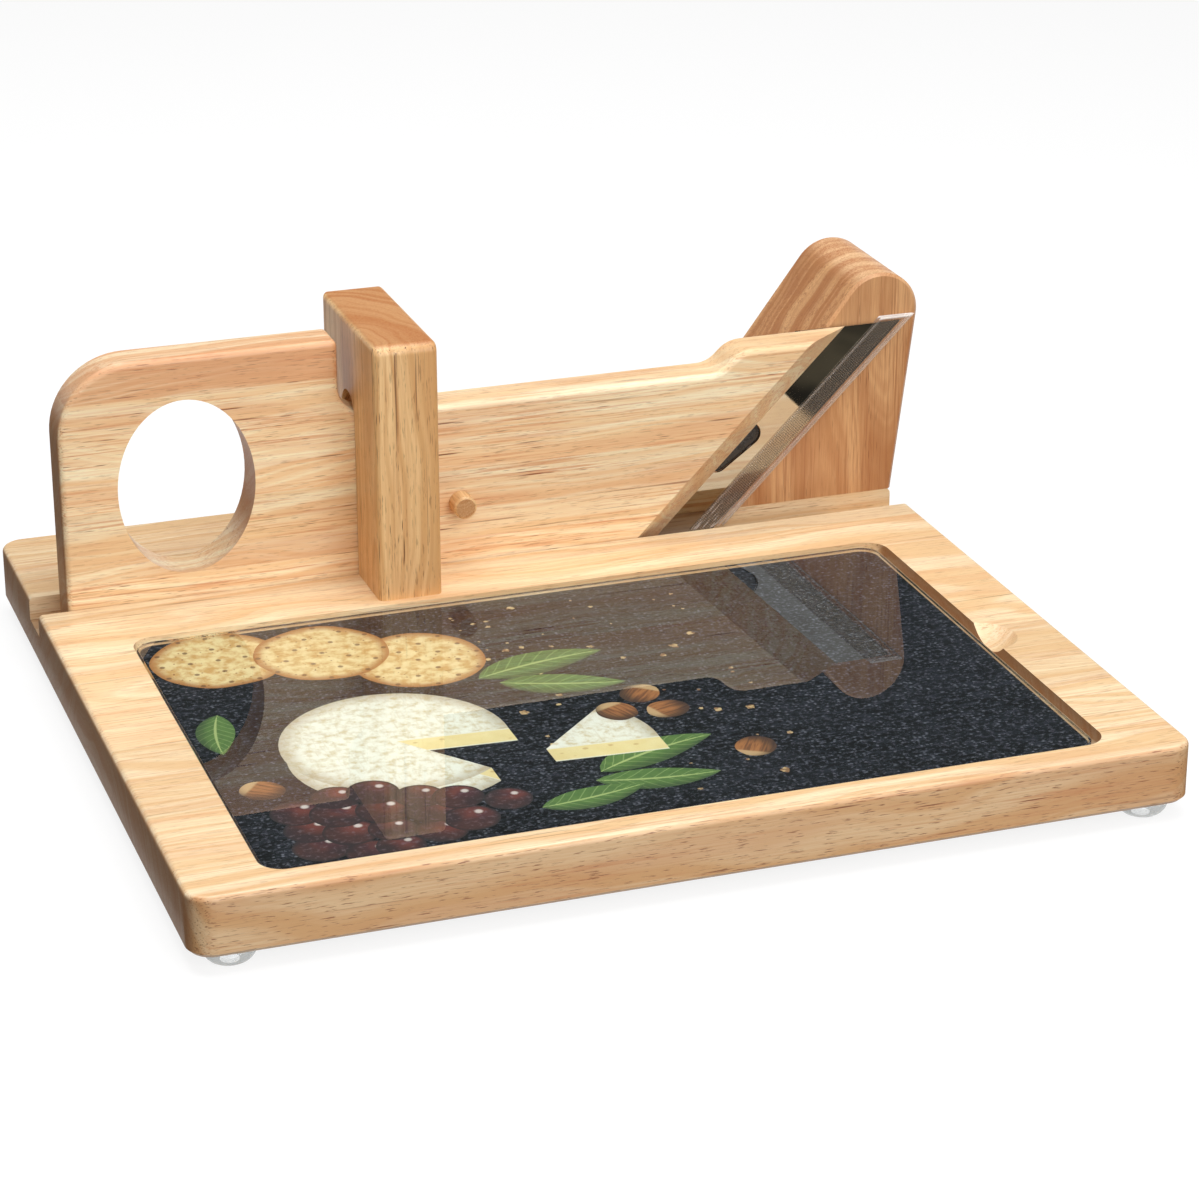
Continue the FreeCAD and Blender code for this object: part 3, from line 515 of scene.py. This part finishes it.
def print_rind():
    """The white bloomy rind of a soft cheese."""
    g = Graph("print_rind")
    u, v = g.drawing()
    x, y, z = g.place()
    mould = g.noise(g.vector(g.times(x, 0.25), g.times(y, 0.25)), 5.0, 0.65)
    ribs = g.noise(g.vector(g.times(x, 0.9), g.times(y, 0.10)), 2.0)
    colour = g.mix(g.ease(mould, 0.42, 0.68), srgb(246, 242, 232), srgb(216, 198, 166))
    colour = g.mix(g.times(g.ease(ribs, 0.55, 0.7), 0.3), colour, srgb(206, 184, 150))
    dim = g.ease(rim_share(g, u, v), 0.80, 1.0)
    return printed(g, g.mix(g.times(dim, 0.6), colour, srgb(170, 146, 112)))


def print_paste():
    """The cut face of a soft cheese, pale yellow with small holes."""
    g = Graph("print_paste")
    u, v = g.drawing()
    x, y, z = g.place()
    distance, chance = g.scatter(g.vector(g.times(x, 0.22), g.times(y, 0.30)))
    holes = g.times(g.ease(distance, 0.30, 0.18), g.math("LESS_THAN", chance, 0.4))
    cloud = g.noise(g.vector(g.times(x, 0.15), g.times(y, 0.15)), 3.0)
    colour = g.mix(cloud, srgb(250, 232, 178), srgb(234, 204, 140))
    colour = g.mix(g.times(holes, 0.6), colour, srgb(196, 158, 96))
    rind = g.ease(g.math("ABSOLUTE", v), 0.80, 0.94)
    return printed(g, g.mix(rind, colour, srgb(240, 232, 214)))


def print_cracker():
    """A round baked cracker with toasted bubbles and a grid of pin holes."""
    g = Graph("print_cracker")
    u, v = g.drawing()
    x, y, z = g.place()
    toast = g.noise(g.vector(g.times(x, 0.22), g.times(y, 0.22)), 4.0, 0.6)
    seeds, chance = g.scatter(g.vector(g.times(x, 0.5), g.times(y, 0.5)))
    distance, _ = g.scatter(g.vector(g.times(u, 2.4), g.times(v, 2.4)), 0.0)
    colour = g.mix(g.ease(toast, 0.38, 0.66), srgb(244, 220, 168), srgb(214, 166, 100))
    colour = g.mix(g.ease(rim_share(g, u, v), 0.78, 1.0), colour, srgb(180, 118, 60))
    colour = g.mix(g.times(g.ease(seeds, 0.22, 0.14), g.math("LESS_THAN", chance, 0.3)), colour,
                   srgb(150, 96, 50))
    return printed(g, g.mix(g.times(g.ease(distance, 0.12, 0.07), 0.8), colour, srgb(110, 66, 34)))


def print_grape():
    """A dark red grape, lit from its upper right and dusted with bloom."""
    g = Graph("print_grape")
    u, v = g.drawing()
    x, y, z = g.place()
    lit = rim_share(g, g.add(u, -0.30), g.add(v, -0.35))
    ripe = g.noise(g.vector(g.times(x, 0.08), g.times(y, 0.08)), 2.0)
    bloom = g.noise(g.vector(g.times(x, 0.5), g.times(y, 0.5)), 4.0, 0.6)
    skin = g.mix(g.ease(ripe, 0.40, 0.60), srgb(74, 24, 34), srgb(118, 48, 36))
    colour = g.mix(g.ease(lit, 0.9, 0.1), g.mix(0.72, skin, srgb(10, 6, 10)), skin)
    colour = g.mix(g.times(g.ease(bloom, 0.50, 0.70), 0.35), colour, srgb(140, 112, 128))
    colour = g.mix(g.times(g.ease(rim_share(g, u, v), 0.82, 1.0), 0.8), colour, srgb(18, 8, 12))
    glint = g.ease(rim_share(g, g.add(u, -0.38), g.add(v, -0.42)), 0.20, 0.08)
    return printed(g, g.mix(g.times(glint, 0.85), colour, srgb(236, 222, 216)))


def print_leaf():
    """A bay leaf with its veins."""
    g = Graph("print_leaf")
    u, v = g.drawing()
    x, y, z = g.place()
    width = g.math("ABSOLUTE", v)
    mottle = g.noise(g.vector(g.times(x, 0.3), g.times(y, 0.3)), 3.0)
    colour = g.mix(mottle, srgb(58, 92, 44), srgb(104, 140, 62))
    branch = g.math("PINGPONG", g.math("SUBTRACT", g.times(u, 9.0), g.times(width, 1.6)), 0.5)
    colour = g.mix(g.times(g.ease(branch, 0.10, 0.03), 0.5), colour, srgb(164, 184, 112))
    colour = g.mix(g.ease(width, 0.10, 0.04), colour, srgb(176, 190, 120))
    return printed(g, g.mix(g.times(g.ease(v, -0.2, -1.0), 0.6), colour, srgb(24, 44, 24)))


def print_nut():
    """A shelled hazelnut, striped from its pale cap."""
    g = Graph("print_nut")
    u, v = g.drawing()
    x, y, z = g.place()
    stripes = g.noise(g.vector(g.times(u, 7.0), g.times(v, 0.8), g.times(x, 0.02)), 2.0)
    colour = g.mix(g.ease(stripes, 0.4, 0.65), srgb(176, 112, 60), srgb(122, 70, 34))
    colour = g.mix(g.ease(v, 0.45, 0.62), colour, srgb(206, 168, 122))
    lit = rim_share(g, g.add(u, -0.3), g.add(v, -0.3))
    return printed(g, g.mix(g.times(g.ease(lit, 0.5, 1.3), 0.85), colour, srgb(36, 20, 12)))


def print_crumb():
    g = Graph("print_crumb")
    x, y, z = g.place()
    tone = g.noise(g.vector(g.times(x, 0.4), g.times(y, 0.4)), 2.0)
    return printed(g, g.mix(g.ease(tone, 0.4, 0.6), srgb(226, 194, 140), srgb(150, 104, 66)))


# Mesh helpers


def new_piece(name, body, material, bm, smooth=True, closed=True):
    """Turns a bmesh in millimetres into a piece that rides on a body."""
    mesh = bpy.data.meshes.new(name)
    if closed:
        bmesh.ops.recalc_face_normals(bm, faces=bm.faces)
    bmesh.ops.scale(bm, vec=(MM, MM, MM), verts=bm.verts)
    bm.to_mesh(mesh)
    bm.free()
    for face in mesh.polygons:
        face.use_smooth = smooth
    piece = bpy.data.objects.new(name, mesh)
    bpy.context.scene.collection.objects.link(piece)
    piece.data.materials.append(material)
    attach(piece, body)
    return piece


def add_loop(bm, points):
    return [bm.verts.new(point) for point in points]


def join_loops(bm, first, second):
    """Quads between two closed loops of equal length."""
    count = len(first)
    for i in range(count):
        j = (i + 1) % count
        bm.faces.new((first[i], first[j], second[j], second[i]))


def ring(centre, radius, height, count):
    """Points of a level circle."""
    points = []
    for i in range(count):
        angle = 2 * math.pi * i / count
        x = centre[0] + radius * math.cos(angle)
        y = centre[1] + radius * math.sin(angle)
        points.append((x, y, height))
    return points


# Feet


def make_foot(node, material):
    """A clear domed bumper stuck to the board's underside."""
    low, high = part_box(node)
    centre = ((low + high) / 2 / MM).xy
    radius = (high.x - low.x) / 2 / MM
    top = high.z / MM
    bm = bmesh.new()
    count = 48
    steps = 12
    flat = 0.34
    loops = []
    for step in range(steps + 1):
        share = flat + (1 - flat) * step / steps
        height = top * (1 - math.sqrt(max(0.0, 1 - ((share - flat) / (1 - flat)) ** 2.4)))
        loops.append(add_loop(bm, ring(centre, radius * share, height, count)))
    for first, second in zip(loops, loops[1:]):
        join_loops(bm, first, second)
    bm.faces.new(loops[0])
    bm.faces.new(loops[-1])
    foot = new_piece(f"bumper_{node[5:]}", "board", material, bm)
    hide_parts(node)


# Blade's slot and guard

EDGE_ORIGIN = Vector((69.5, 100.0, 19.7))
ALONG_EDGE = Vector((1, 0, 1)).normalized()
FROM_EDGE = Vector((1, 0, -1)).normalized()
THROUGH_EDGE = Vector((0, 1, 0))
SLOT_TURN = 9.0


def on_blade(run, out, depth):
    """A point from its place along the blade, square to it and through its thickness."""
    return EDGE_ORIGIN + ALONG_EDGE * run + FROM_EDGE * out + THROUGH_EDGE * depth


def make_slot_tab(material):
    """A dark tongue in the blade's slot that stands for the slot's painted shade, crowned towards the front.
    """
    reach = 13.3
    radius = 4.8
    count = 24
    turn = math.radians(SLOT_TURN)
    bm = bmesh.new()
    loops = []
    for share, depth in ((0.35, 0.30), (0.80, 0.36), (0.97, 0.55), (1.0, 0.95)):
        points = []
        for i in range(2 * count):
            angle = math.pi * (i % count) / (count - 1) - math.pi / 2
            way = 1 if i < count else -1
            along = way * (reach - radius + radius * share * math.cos(angle))
            across = way * radius * share * math.sin(angle)
            run = 50.0 + along * math.cos(turn) - across * math.sin(turn)
            out = -1.0 + along * math.sin(turn) + across * math.cos(turn)
            points.append(on_blade(run, out, depth))
        loops.append(add_loop(bm, points))
    for first, second in zip(loops, loops[1:]):
        join_loops(bm, first, second)
    bm.faces.new(loops[0])
    bm.faces.new(loops[-1])
    new_piece("slot_shade_tab", "slider", material, bm)


def guard_section():
    """The folded film's outline, from the mouth round the fold and back inside, as out, depth."""
    mouth = 9.6
    fold = 20.2
    front = -0.65
    back = 1.65
    wall = 0.2
    middle = (front + back) / 2
    round_fold = (back - front) / 2
    outer = []
    inner = []
    for i in range(9):
        angle = math.pi * i / 8
        for side, radius in ((outer, round_fold), (inner, round_fold - wall)):
            out = fold - round_fold + radius * math.sin(angle)
            side.append((out, middle - radius * math.cos(angle)))
    front_steps = [mouth + (fold - round_fold - mouth) * i / 6 for i in range(6)]
    section = [(out, front) for out in front_steps] + outer
    section += [(out, back) for out in reversed(front_steps)]
    section += [(out, back - wall) for out in front_steps]
    section += list(reversed(inner))
    section += [(out, front + wall) for out in reversed(front_steps)]
    return section


def make_guard(material):
    """The clear film over the cutting edge, crumpled at its lower end."""
    start = 2.7 * math.sqrt(2)
    stop = 84.6 * math.sqrt(2)
    section = guard_section()
    steps = 120
    bm = bmesh.new()
    loops = []
    for step in range(steps + 1):
        share = step / steps
        points = []
        for out, depth in section:
            run = start + (stop - start) * share + out
            point = on_blade(run, out, depth)
            crumple = max(0.0, 1 - share / 0.16) ** 1.5
            shove = noise.noise(Vector((point.x * 0.35, 0.0, point.z * 0.35))) * 0.3 * crumple
            points.append(point + THROUGH_EDGE * shove)
        loops.append(add_loop(bm, points))
    for first, second in zip(loops, loops[1:]):
        join_loops(bm, first, second)
    bm.faces.new(loops[0])
    bm.faces.new(loops[-1])
    guard = new_piece("guard_film", "guard", material, bm)
    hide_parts("blade_guard")


# Screws


def add_screw(bm, place, head, shank, length, head_depth, thread):
    """A screw with a cross recess, as closed loops round its axis, with its head's face at place."""
    origin, axis, side = place
    other = axis.cross(side)
    count = 32

    def loop(radius, depth):
        points = []
        for i in range(count):
            angle = 2 * math.pi * i / count
            sideways = side * math.cos(angle) + other * math.sin(angle)
            points.append(origin + sideways * radius + axis * depth)
        return add_loop(bm, points)

    def cross(reach, width, depth):
        """A plus sign with as many points as the round loops."""
        points = []
        for i in range(count):
            angle = 2 * math.pi * i / count
            x = math.cos(angle)
            y = math.sin(angle)
            scale = reach / max(abs(x), abs(y))
            x *= scale
            y *= scale
            if abs(x) > width and abs(y) > width:
                x = math.copysign(width, x)
                y = math.copysign(width, y)
            points.append(origin + side * x + other * y + axis * depth)
        return add_loop(bm, points)

    loops = [
        cross(head * 0.10, head * 0.05, head_depth * 0.8),
        cross(head * 0.28, head * 0.05, 0.0),
        loop(head * 0.46, 0.0),
        loop(head * 0.5, head_depth * 0.15),
        loop(shank * 0.5, head_depth),
    ]
    turns = int((length - head_depth) / thread)
    for turn in range(turns):
        depth = head_depth + turn * thread
        loops.append(loop(shank * 0.36, depth + thread * 0.25))
        loops.append(loop(shank * 0.49, depth + thread * 0.65))
    loops.append(loop(shank * 0.30, length - shank * 0.3))
    loops.append(loop(shank * 0.08, length))
    for first, second in zip(loops, loops[1:]):
        join_loops(bm, first, second)
    bm.faces.new(loops[0])
    bm.faces.new(loops[-1])


def make_screws(node, body, places, axis, sizes, material):
    bm = bmesh.new()
    side = Vector((1, 0, 0))
    for place in places:
        turn = Matrix.Rotation(0.7 * place[0], 3, axis)
        add_screw(bm, (Vector(place), axis, turn @ side), *sizes)
    piece = new_piece(f"{node}_threaded", body, material, bm, smooth=False)
    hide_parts(node)


def make_all_screws(material):
    long_sizes = (8.0, 4.0, 40.0, 3.0, 1.8)
    head_level = 7.4
    up = Vector((0, 0, 1))
    post_places = [(-45.9, 68.7, head_level), (-45.9, 113.2, head_level)]
    block_places = [
        (113.4, 116.05, head_level), (113.4, 143.55, head_level), (155.4, 129.8, head_level),
    ]
    make_screws("post_screws", "board", post_places, up, long_sizes, material)
    make_screws("block_screws", "board", block_places, up, long_sizes, material)
    stub_sizes = (5.0, 3.0, 8.0, 1.0, 0.9)
    blade_places = [tuple(on_blade(14.0 + 41.0 * step, -10.5, 1.0)) for step in range(3)]
    make_screws("blade_screws", "slider", blade_places, Vector((0, -1, 0)), stub_sizes, material)


# Print: a plain slate sheet with a generic still life of cheese, crackers, grapes and leaves


def make_sheet(material):
    """The printed sheet, with its corners rounded."""
    low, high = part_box("glass_print")
    low = low / MM
    high = high / MM
    corner = 6.8
    outline = []
    for cx, cy, first in (
        (high.x - corner, high.y - corner, 0), (low.x + corner, high.y - corner, 90),
        (low.x + corner, low.y + corner, 180), (high.x - corner, low.y + corner, 270),
    ):
        for step in range(9):
            angle = math.radians(first + 90 * step / 8)
            outline.append((cx + corner * math.cos(angle), cy + corner * math.sin(angle)))
    bm = bmesh.new()
    bottom = add_loop(bm, [(x, y, PRINT_LOW) for x, y in outline])
    top = add_loop(bm, [(x, y, PRINT_FACE) for x, y in outline])
    join_loops(bm, bottom, top)
    bm.faces.new(bottom)
    bm.faces.new(top)
    sheet = new_piece("print_sheet", "plate", material, bm, smooth=False)
    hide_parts("glass_print")
    return Vector((low.x, low.y))


class Motif:
    """Flat printed shapes of one kind, each a hair above the one before. Their places are in
    millimetres from the sheet's left front corner."""

    def __init__(self, corner, level):
        self.bm = bmesh.new()
        self.marks = self.bm.loops.layers.uv.new("UVMap")
        self.corner = corner
        self.level = level

    def face(self, points, marks):
        corners = [(self.corner.x + x, self.corner.y + y, self.level) for x, y in points]
        face = self.bm.faces.new(add_loop(self.bm, corners))
        for loop, mark in zip(face.loops, marks):
            loop[self.marks].uv = mark

    def rise(self):
        self.level += 0.0025

    def blob(self, centre, radius, start=0.0, stop=360.0, tall=1.0, turn=0.0, wave=0.0, seed=0.0):
        """A round or a sector of one, with a waved rim."""
        steps = 48
        rim = []
        for i in range(steps + 1):
            angle = math.radians(start + (stop - start) * i / steps)
            mark = Vector((math.cos(angle), math.sin(angle)))
            reach = 1 + wave * noise.noise(Vector((mark.x * 1.6, mark.y * 1.6, seed)))
            across = mark.x * radius * reach
            along = mark.y * radius * reach * tall
            x = centre[0] + across * math.cos(turn) - along * math.sin(turn)
            y = centre[1] + across * math.sin(turn) + along * math.cos(turn)
            rim.append(((x, y), tuple(mark)))
        for (first, first_mark), (second, second_mark) in zip(rim, rim[1:]):
            self.face([centre, first, second], [(0, 0), first_mark, second_mark])
        self.rise()

    def band(self, start, stop, drop):
        """The upright cut face below an edge, as it shows from above and in front."""
        low_start = (start[0], start[1] - drop)
        low_stop = (stop[0], stop[1] - drop)
        marks = [(0, -1), (1, -1), (1, 1), (0, 1)]
        self.face([low_start, low_stop, stop, start], marks)
        self.rise()

    def leaf(self, root, heading, length, width, bend):
        """A pointed leaf along a bent midrib."""
        steps = 16
        middle = Vector(root)
        sides = []
        for i in range(steps + 1):
            share = i / steps
            angle = math.radians(heading + bend * share)
            forward = Vector((math.cos(angle), math.sin(angle)))
            aside = Vector((-forward.y, forward.x)) * width / 2
            aside *= math.sin(math.pi * share ** 0.85) ** 0.8 if 0 < i < steps else 0.02
            sides.append((tuple(middle + aside), tuple(middle), tuple(middle - aside), share))
            middle = middle + forward * length / steps
        for (a, b, c, first), (d, e, f, second) in zip(sides, sides[1:]):
            self.face([b, e, d, a], [(first, 0), (second, 0), (second, 1), (first, 1)])
            self.face([c, f, e, b], [(first, -1), (second, -1), (second, 0), (first, 0)])
        self.rise()

    def finish(self, name, material):
        new_piece(name, "plate", material, self.bm, smooth=False, closed=False)


def at_angle(centre, radius, degrees):
    angle = math.radians(degrees)
    return (centre[0] + radius * math.cos(angle), centre[1] + radius * math.sin(angle))


WHEEL = (68, 86)
WHEEL_RADIUS = 41
WHEEL_CUT = (-52, -4)
WEDGE_TIP = (116, 62)
WEDGE_ARC = (-4, 44)
CHEESE_DROP = 11


def print_cheese_motif(corner, rind, paste):
    """A soft cheese with a wedge cut out, and the wedge beside it."""
    side = Motif(corner, 23.705)
    under_wheel = (WHEEL[0], WHEEL[1] - CHEESE_DROP)
    under_wedge = (WEDGE_TIP[0], WEDGE_TIP[1] - CHEESE_DROP)
    side.blob(under_wheel, WHEEL_RADIUS, WHEEL_CUT[1], WHEEL_CUT[0] + 360)
    side.blob(under_wedge, WHEEL_RADIUS, *WEDGE_ARC)
    side.finish("print_rind_side", rind)
    faces = Motif(corner, 23.712)
    for angle in WHEEL_CUT:
        faces.band(WHEEL, at_angle(WHEEL, WHEEL_RADIUS, angle), CHEESE_DROP)
    faces.band(WEDGE_TIP, at_angle(WEDGE_TIP, WHEEL_RADIUS, WEDGE_ARC[0]), CHEESE_DROP)
    faces.finish("print_cut_faces", paste)
    top = Motif(corner, 23.722)
    top.blob(WHEEL, WHEEL_RADIUS, WHEEL_CUT[1], WHEEL_CUT[0] + 360)
    top.blob(WEDGE_TIP, WHEEL_RADIUS, *WEDGE_ARC)
    top.finish("print_rind_top", rind)


def print_cracker_motif(corner, material):
    crackers = Motif(corner, 23.695)
    for number, place in enumerate([(26, 176), (96, 152), (64, 170)]):
        crackers.blob(place, 25, wave=0.05, turn=0.5 * number, seed=number)
    crackers.finish("print_crackers", material)


def print_grape_motif(corner, material):
    """A bunch of grapes that narrows to the right."""
    chance = random.Random(11)
    grapes = Motif(corner, 23.735)
    for row, count in enumerate((3, 4, 4, 3, 2, 1)):
        for i in range(count):
            x = 22 + 13.5 * row + chance.uniform(-2, 2)
            y = 27 + 14.0 * (i - (count - 1) / 2) + chance.uniform(-2, 2)
            grapes.blob((x, y), 9.2 + chance.uniform(-0.8, 0.8), wave=0.03, seed=row + i)
    grapes.finish("print_grapes", material)


def print_leaf_motif(corner, material):
    leaves = Motif(corner, 23.690)
    for leaf in (
        ((112, 128), 20, 52, 19, -18), ((118, 122), -24, 46, 17, 14), ((128, 38), 30, 50, 18, -22),
        ((124, 32), -18, 44, 16, 20), ((14, 128), 250, 34, 14, 22), ((100, 18), 4, 40, 15, 12),
    ):
        leaves.leaf(*leaf)
    leaves.finish("print_leaves", material)


def print_nut_motif(corner, material):
    nuts = Motif(corner, 23.780)
    for x, y, turn in ((150, 84, 0.4), (163, 96, -0.7), (168, 80, 1.9), (186, 40, 2.6), (14, 62, 0.9)):
        nuts.blob((x, y), 7.2, tall=1.12, turn=turn, wave=0.05, seed=turn)
    nuts.finish("print_nuts", material)


def print_crumb_motif(corner, material):
    chance = random.Random(5)
    crumbs = Motif(corner, 23.686)
    for _ in range(60):
        place = (118 + 90 * chance.random() ** 1.6, chance.uniform(12, 188))
        size = 0.5 + 1.3 * chance.random() ** 3
        crumbs.blob(place, size, wave=0.6, seed=place[0])
        crumbs.level = 23.686
    crumbs.finish("print_crumbs", material)


def make_print():
    corner = make_sheet(slate())
    print_crumb_motif(corner, print_crumb())
    print_leaf_motif(corner, print_leaf())
    print_cracker_motif(corner, print_cracker())
    print_cheese_motif(corner, print_rind(), print_paste())
    print_grape_motif(corner, print_grape())
    print_nut_motif(corner, print_nut())


# Stage


def add_card(name, corners, material):
    """A flat stage piece that isn't part of the object, from four corners in metres."""
    bm = bmesh.new()
    bm.faces.new(add_loop(bm, corners))
    mesh = bpy.data.meshes.new(name)
    bm.to_mesh(mesh)
    bm.free()
    card = bpy.data.objects.new(name, mesh)
    card.data.materials.append(material)
    bpy.context.scene.collection.objects.link(card)
    return card


def make_floor():
    """A pale floor that shows white and keeps the slicer's soft shadow."""
    g = Graph("studio_floor")
    path = g.node("LightPath").outputs
    seen = g.math("MAXIMUM", path["Is Camera Ray"], path["Is Glossy Ray"])
    seen = g.math("MAXIMUM", seen, path["Is Transmission Ray"])
    paper = g.node("BsdfDiffuse", {"Color": (0.20, 0.20, 0.20, 1.0)}).outputs[0]
    glow = g.node("Emission", {"Strength": g.times(seen, 0.84)}).outputs[0]
    material = g.finish(g.node("AddShader", {0: paper, 1: glow}).outputs[0])
    reach = 9.0
    corners = [(-reach, -reach, FLOOR), (reach, -reach, FLOOR), (reach, reach, FLOOR), (-reach, reach, FLOOR)]
    add_card("studio_floor", corners, material)


def make_world():
    """White to the camera, and a plain soft grey light for the object."""
    world = bpy.data.worlds.new("studio_air")
    bpy.context.scene.world = world
    world.use_nodes = True
    tree = world.node_tree
    tree.nodes.clear()
    path = tree.nodes.new("ShaderNodeLightPath")
    strength = tree.nodes.new("ShaderNodeMapRange")
    strength.inputs[3].default_value = 0.03
    strength.inputs[4].default_value = 1.0
    backdrop = tree.nodes.new("ShaderNodeBackground")
    backdrop.inputs["Color"].default_value = (1.0, 1.0, 1.0, 1.0)
    output = tree.nodes.new("ShaderNodeOutputWorld")
    seen = tree.nodes.new("ShaderNodeMath")
    seen.operation = "MAXIMUM"
    through = tree.nodes.new("ShaderNodeMath")
    through.operation = "MAXIMUM"
    tree.links.new(path.outputs["Is Camera Ray"], seen.inputs[0])
    tree.links.new(path.outputs["Is Glossy Ray"], seen.inputs[1])
    tree.links.new(seen.outputs[0], through.inputs[0])
    tree.links.new(path.outputs["Is Transmission Ray"], through.inputs[1])
    tree.links.new(through.outputs[0], strength.inputs[0])
    tree.links.new(strength.outputs[0], backdrop.inputs["Strength"])
    tree.links.new(backdrop.outputs[0], output.inputs["Surface"])


def felt(name, low, high):
    """Felt, mottled in broad soft patches between two greys."""
    g = Graph(name)
    x, y, z = g.place()
    broad_patches = g.noise(g.vector(g.times(x, 0.012), g.times(y, 0.012), g.times(z, 0.012)), 3.0, 0.6)
    grey = g.mix(g.ease(broad_patches, 0.40, 0.62), low, high)
    return g.finish(g.node("BsdfDiffuse", {"Color": grey}).outputs[0])


def make_dark_cards():
    """Dark cards, as photographers use flags: one, unseen by the camera, keeps glare off the glass. The low
    ones are seen only in reflections: they paint the dark reflections in the blade's upper end and the left
    faces."""
    near = 1.6
    corners = [(-1.4, near, 0.35), (2.6, near, 0.35), (2.6, near, 2.2), (-1.4, near, 2.2)]
    flag = add_card("studio_flag", corners, felt("studio_black_felt", srgb(30, 30, 30), srgb(44, 44, 44)))
    flag.visible_camera = False
    grey_felt = felt("studio_grey_felt", srgb(40, 38, 34), srgb(80, 74, 62))
    level = 0.002
    for side, left, right, front, back in (
        ("right", 0.18, 0.70, -0.70, 0.09), ("left", -0.90, -0.19, -0.30, 0.70),
    ):
        corners = [(left, front, level), (right, front, level), (right, back, level), (left, back, level)]
        card = add_card(f"studio_card_{side}", corners, grey_felt)
        card.visible_camera = False
        card.visible_diffuse = False
        card.visible_transmission = False
        card.visible_shadow = False


def make_lamp(name, place, target, size, power):
    lamp = bpy.data.lights.new(name, "AREA")
    lamp.shape = "SQUARE"
    lamp.size = size
    lamp.energy = power
    holder = bpy.data.objects.new(name, lamp)
    holder.location = place
    direction = Vector(target) - Vector(place)
    holder.rotation_euler = direction.to_track_quat("-Z", "Y").to_euler()
    bpy.context.scene.collection.objects.link(holder)


def make_lamps():
    """A large overhead box, one in front, and weak ones at three corners."""
    middle = (0.0, 0.0, 0.05)
    make_lamp("top", (0.0, 0.0, 1.6), middle, 1.2, 19.0)
    make_lamp("front", (0.3, -1.7, 0.8), middle, 1.2, 18.0)
    make_lamp("front_right", (0.8, -0.75, 1.3), middle, 1.0, 6.0)
    make_lamp("front_left", (-0.8, -1.3, 1.1), middle, 1.0, 4.5)
    make_lamp("rear_left", (-0.45, 0.8, 1.3), middle, 1.0, 5.0)


def make_camera():
    data = bpy.data.cameras.new("photo_camera")
    data.sensor_width = SENSOR
    data.lens = FOCAL_PIXELS / PHOTO_SIDE * SENSOR
    camera = bpy.data.objects.new("photo_camera", data)
    turn = Matrix.Rotation(math.radians(-CAMERA_YAW), 4, "Z")
    turn @= Matrix.Rotation(math.radians(90 - CAMERA_PITCH), 4, "X")
    turn @= Matrix.Rotation(math.radians(CAMERA_ROLL), 4, "Z")
    camera.matrix_world = Matrix.Translation(CAMERA_PLACE) @ turn
    bpy.context.scene.collection.objects.link(camera)
    bpy.context.scene.camera = camera


# Assembly


def dress(node, material):
    """Gives a CAD node its material."""
    NODES[node].data.materials[0] = material


def main():
    dress("base_board", board_wood())
    dress("slider_panel", panel_wood())
    dress("guide_post", post_wood())
    dress("backing_block", block_wood())
    dress("lock_peg", peg_wood())
    dress("blade", blade_steel())
    dress("glass_plate", clear_glass())
    make_print()
    make_slot_tab(slot_shade_fill())
    make_guard(clear_plastic())
    bumper = bumper_plastic()
    for foot in ("foot_front_left", "foot_front_right", "foot_rear_left", "foot_rear_right"):
        make_foot(foot, bumper)
    make_all_screws(screw_steel())
    make_floor()
    make_world()
    make_dark_cards()
    make_lamps()
    make_camera()
    bpy.context.scene.view_settings.view_transform = "Standard"


main()
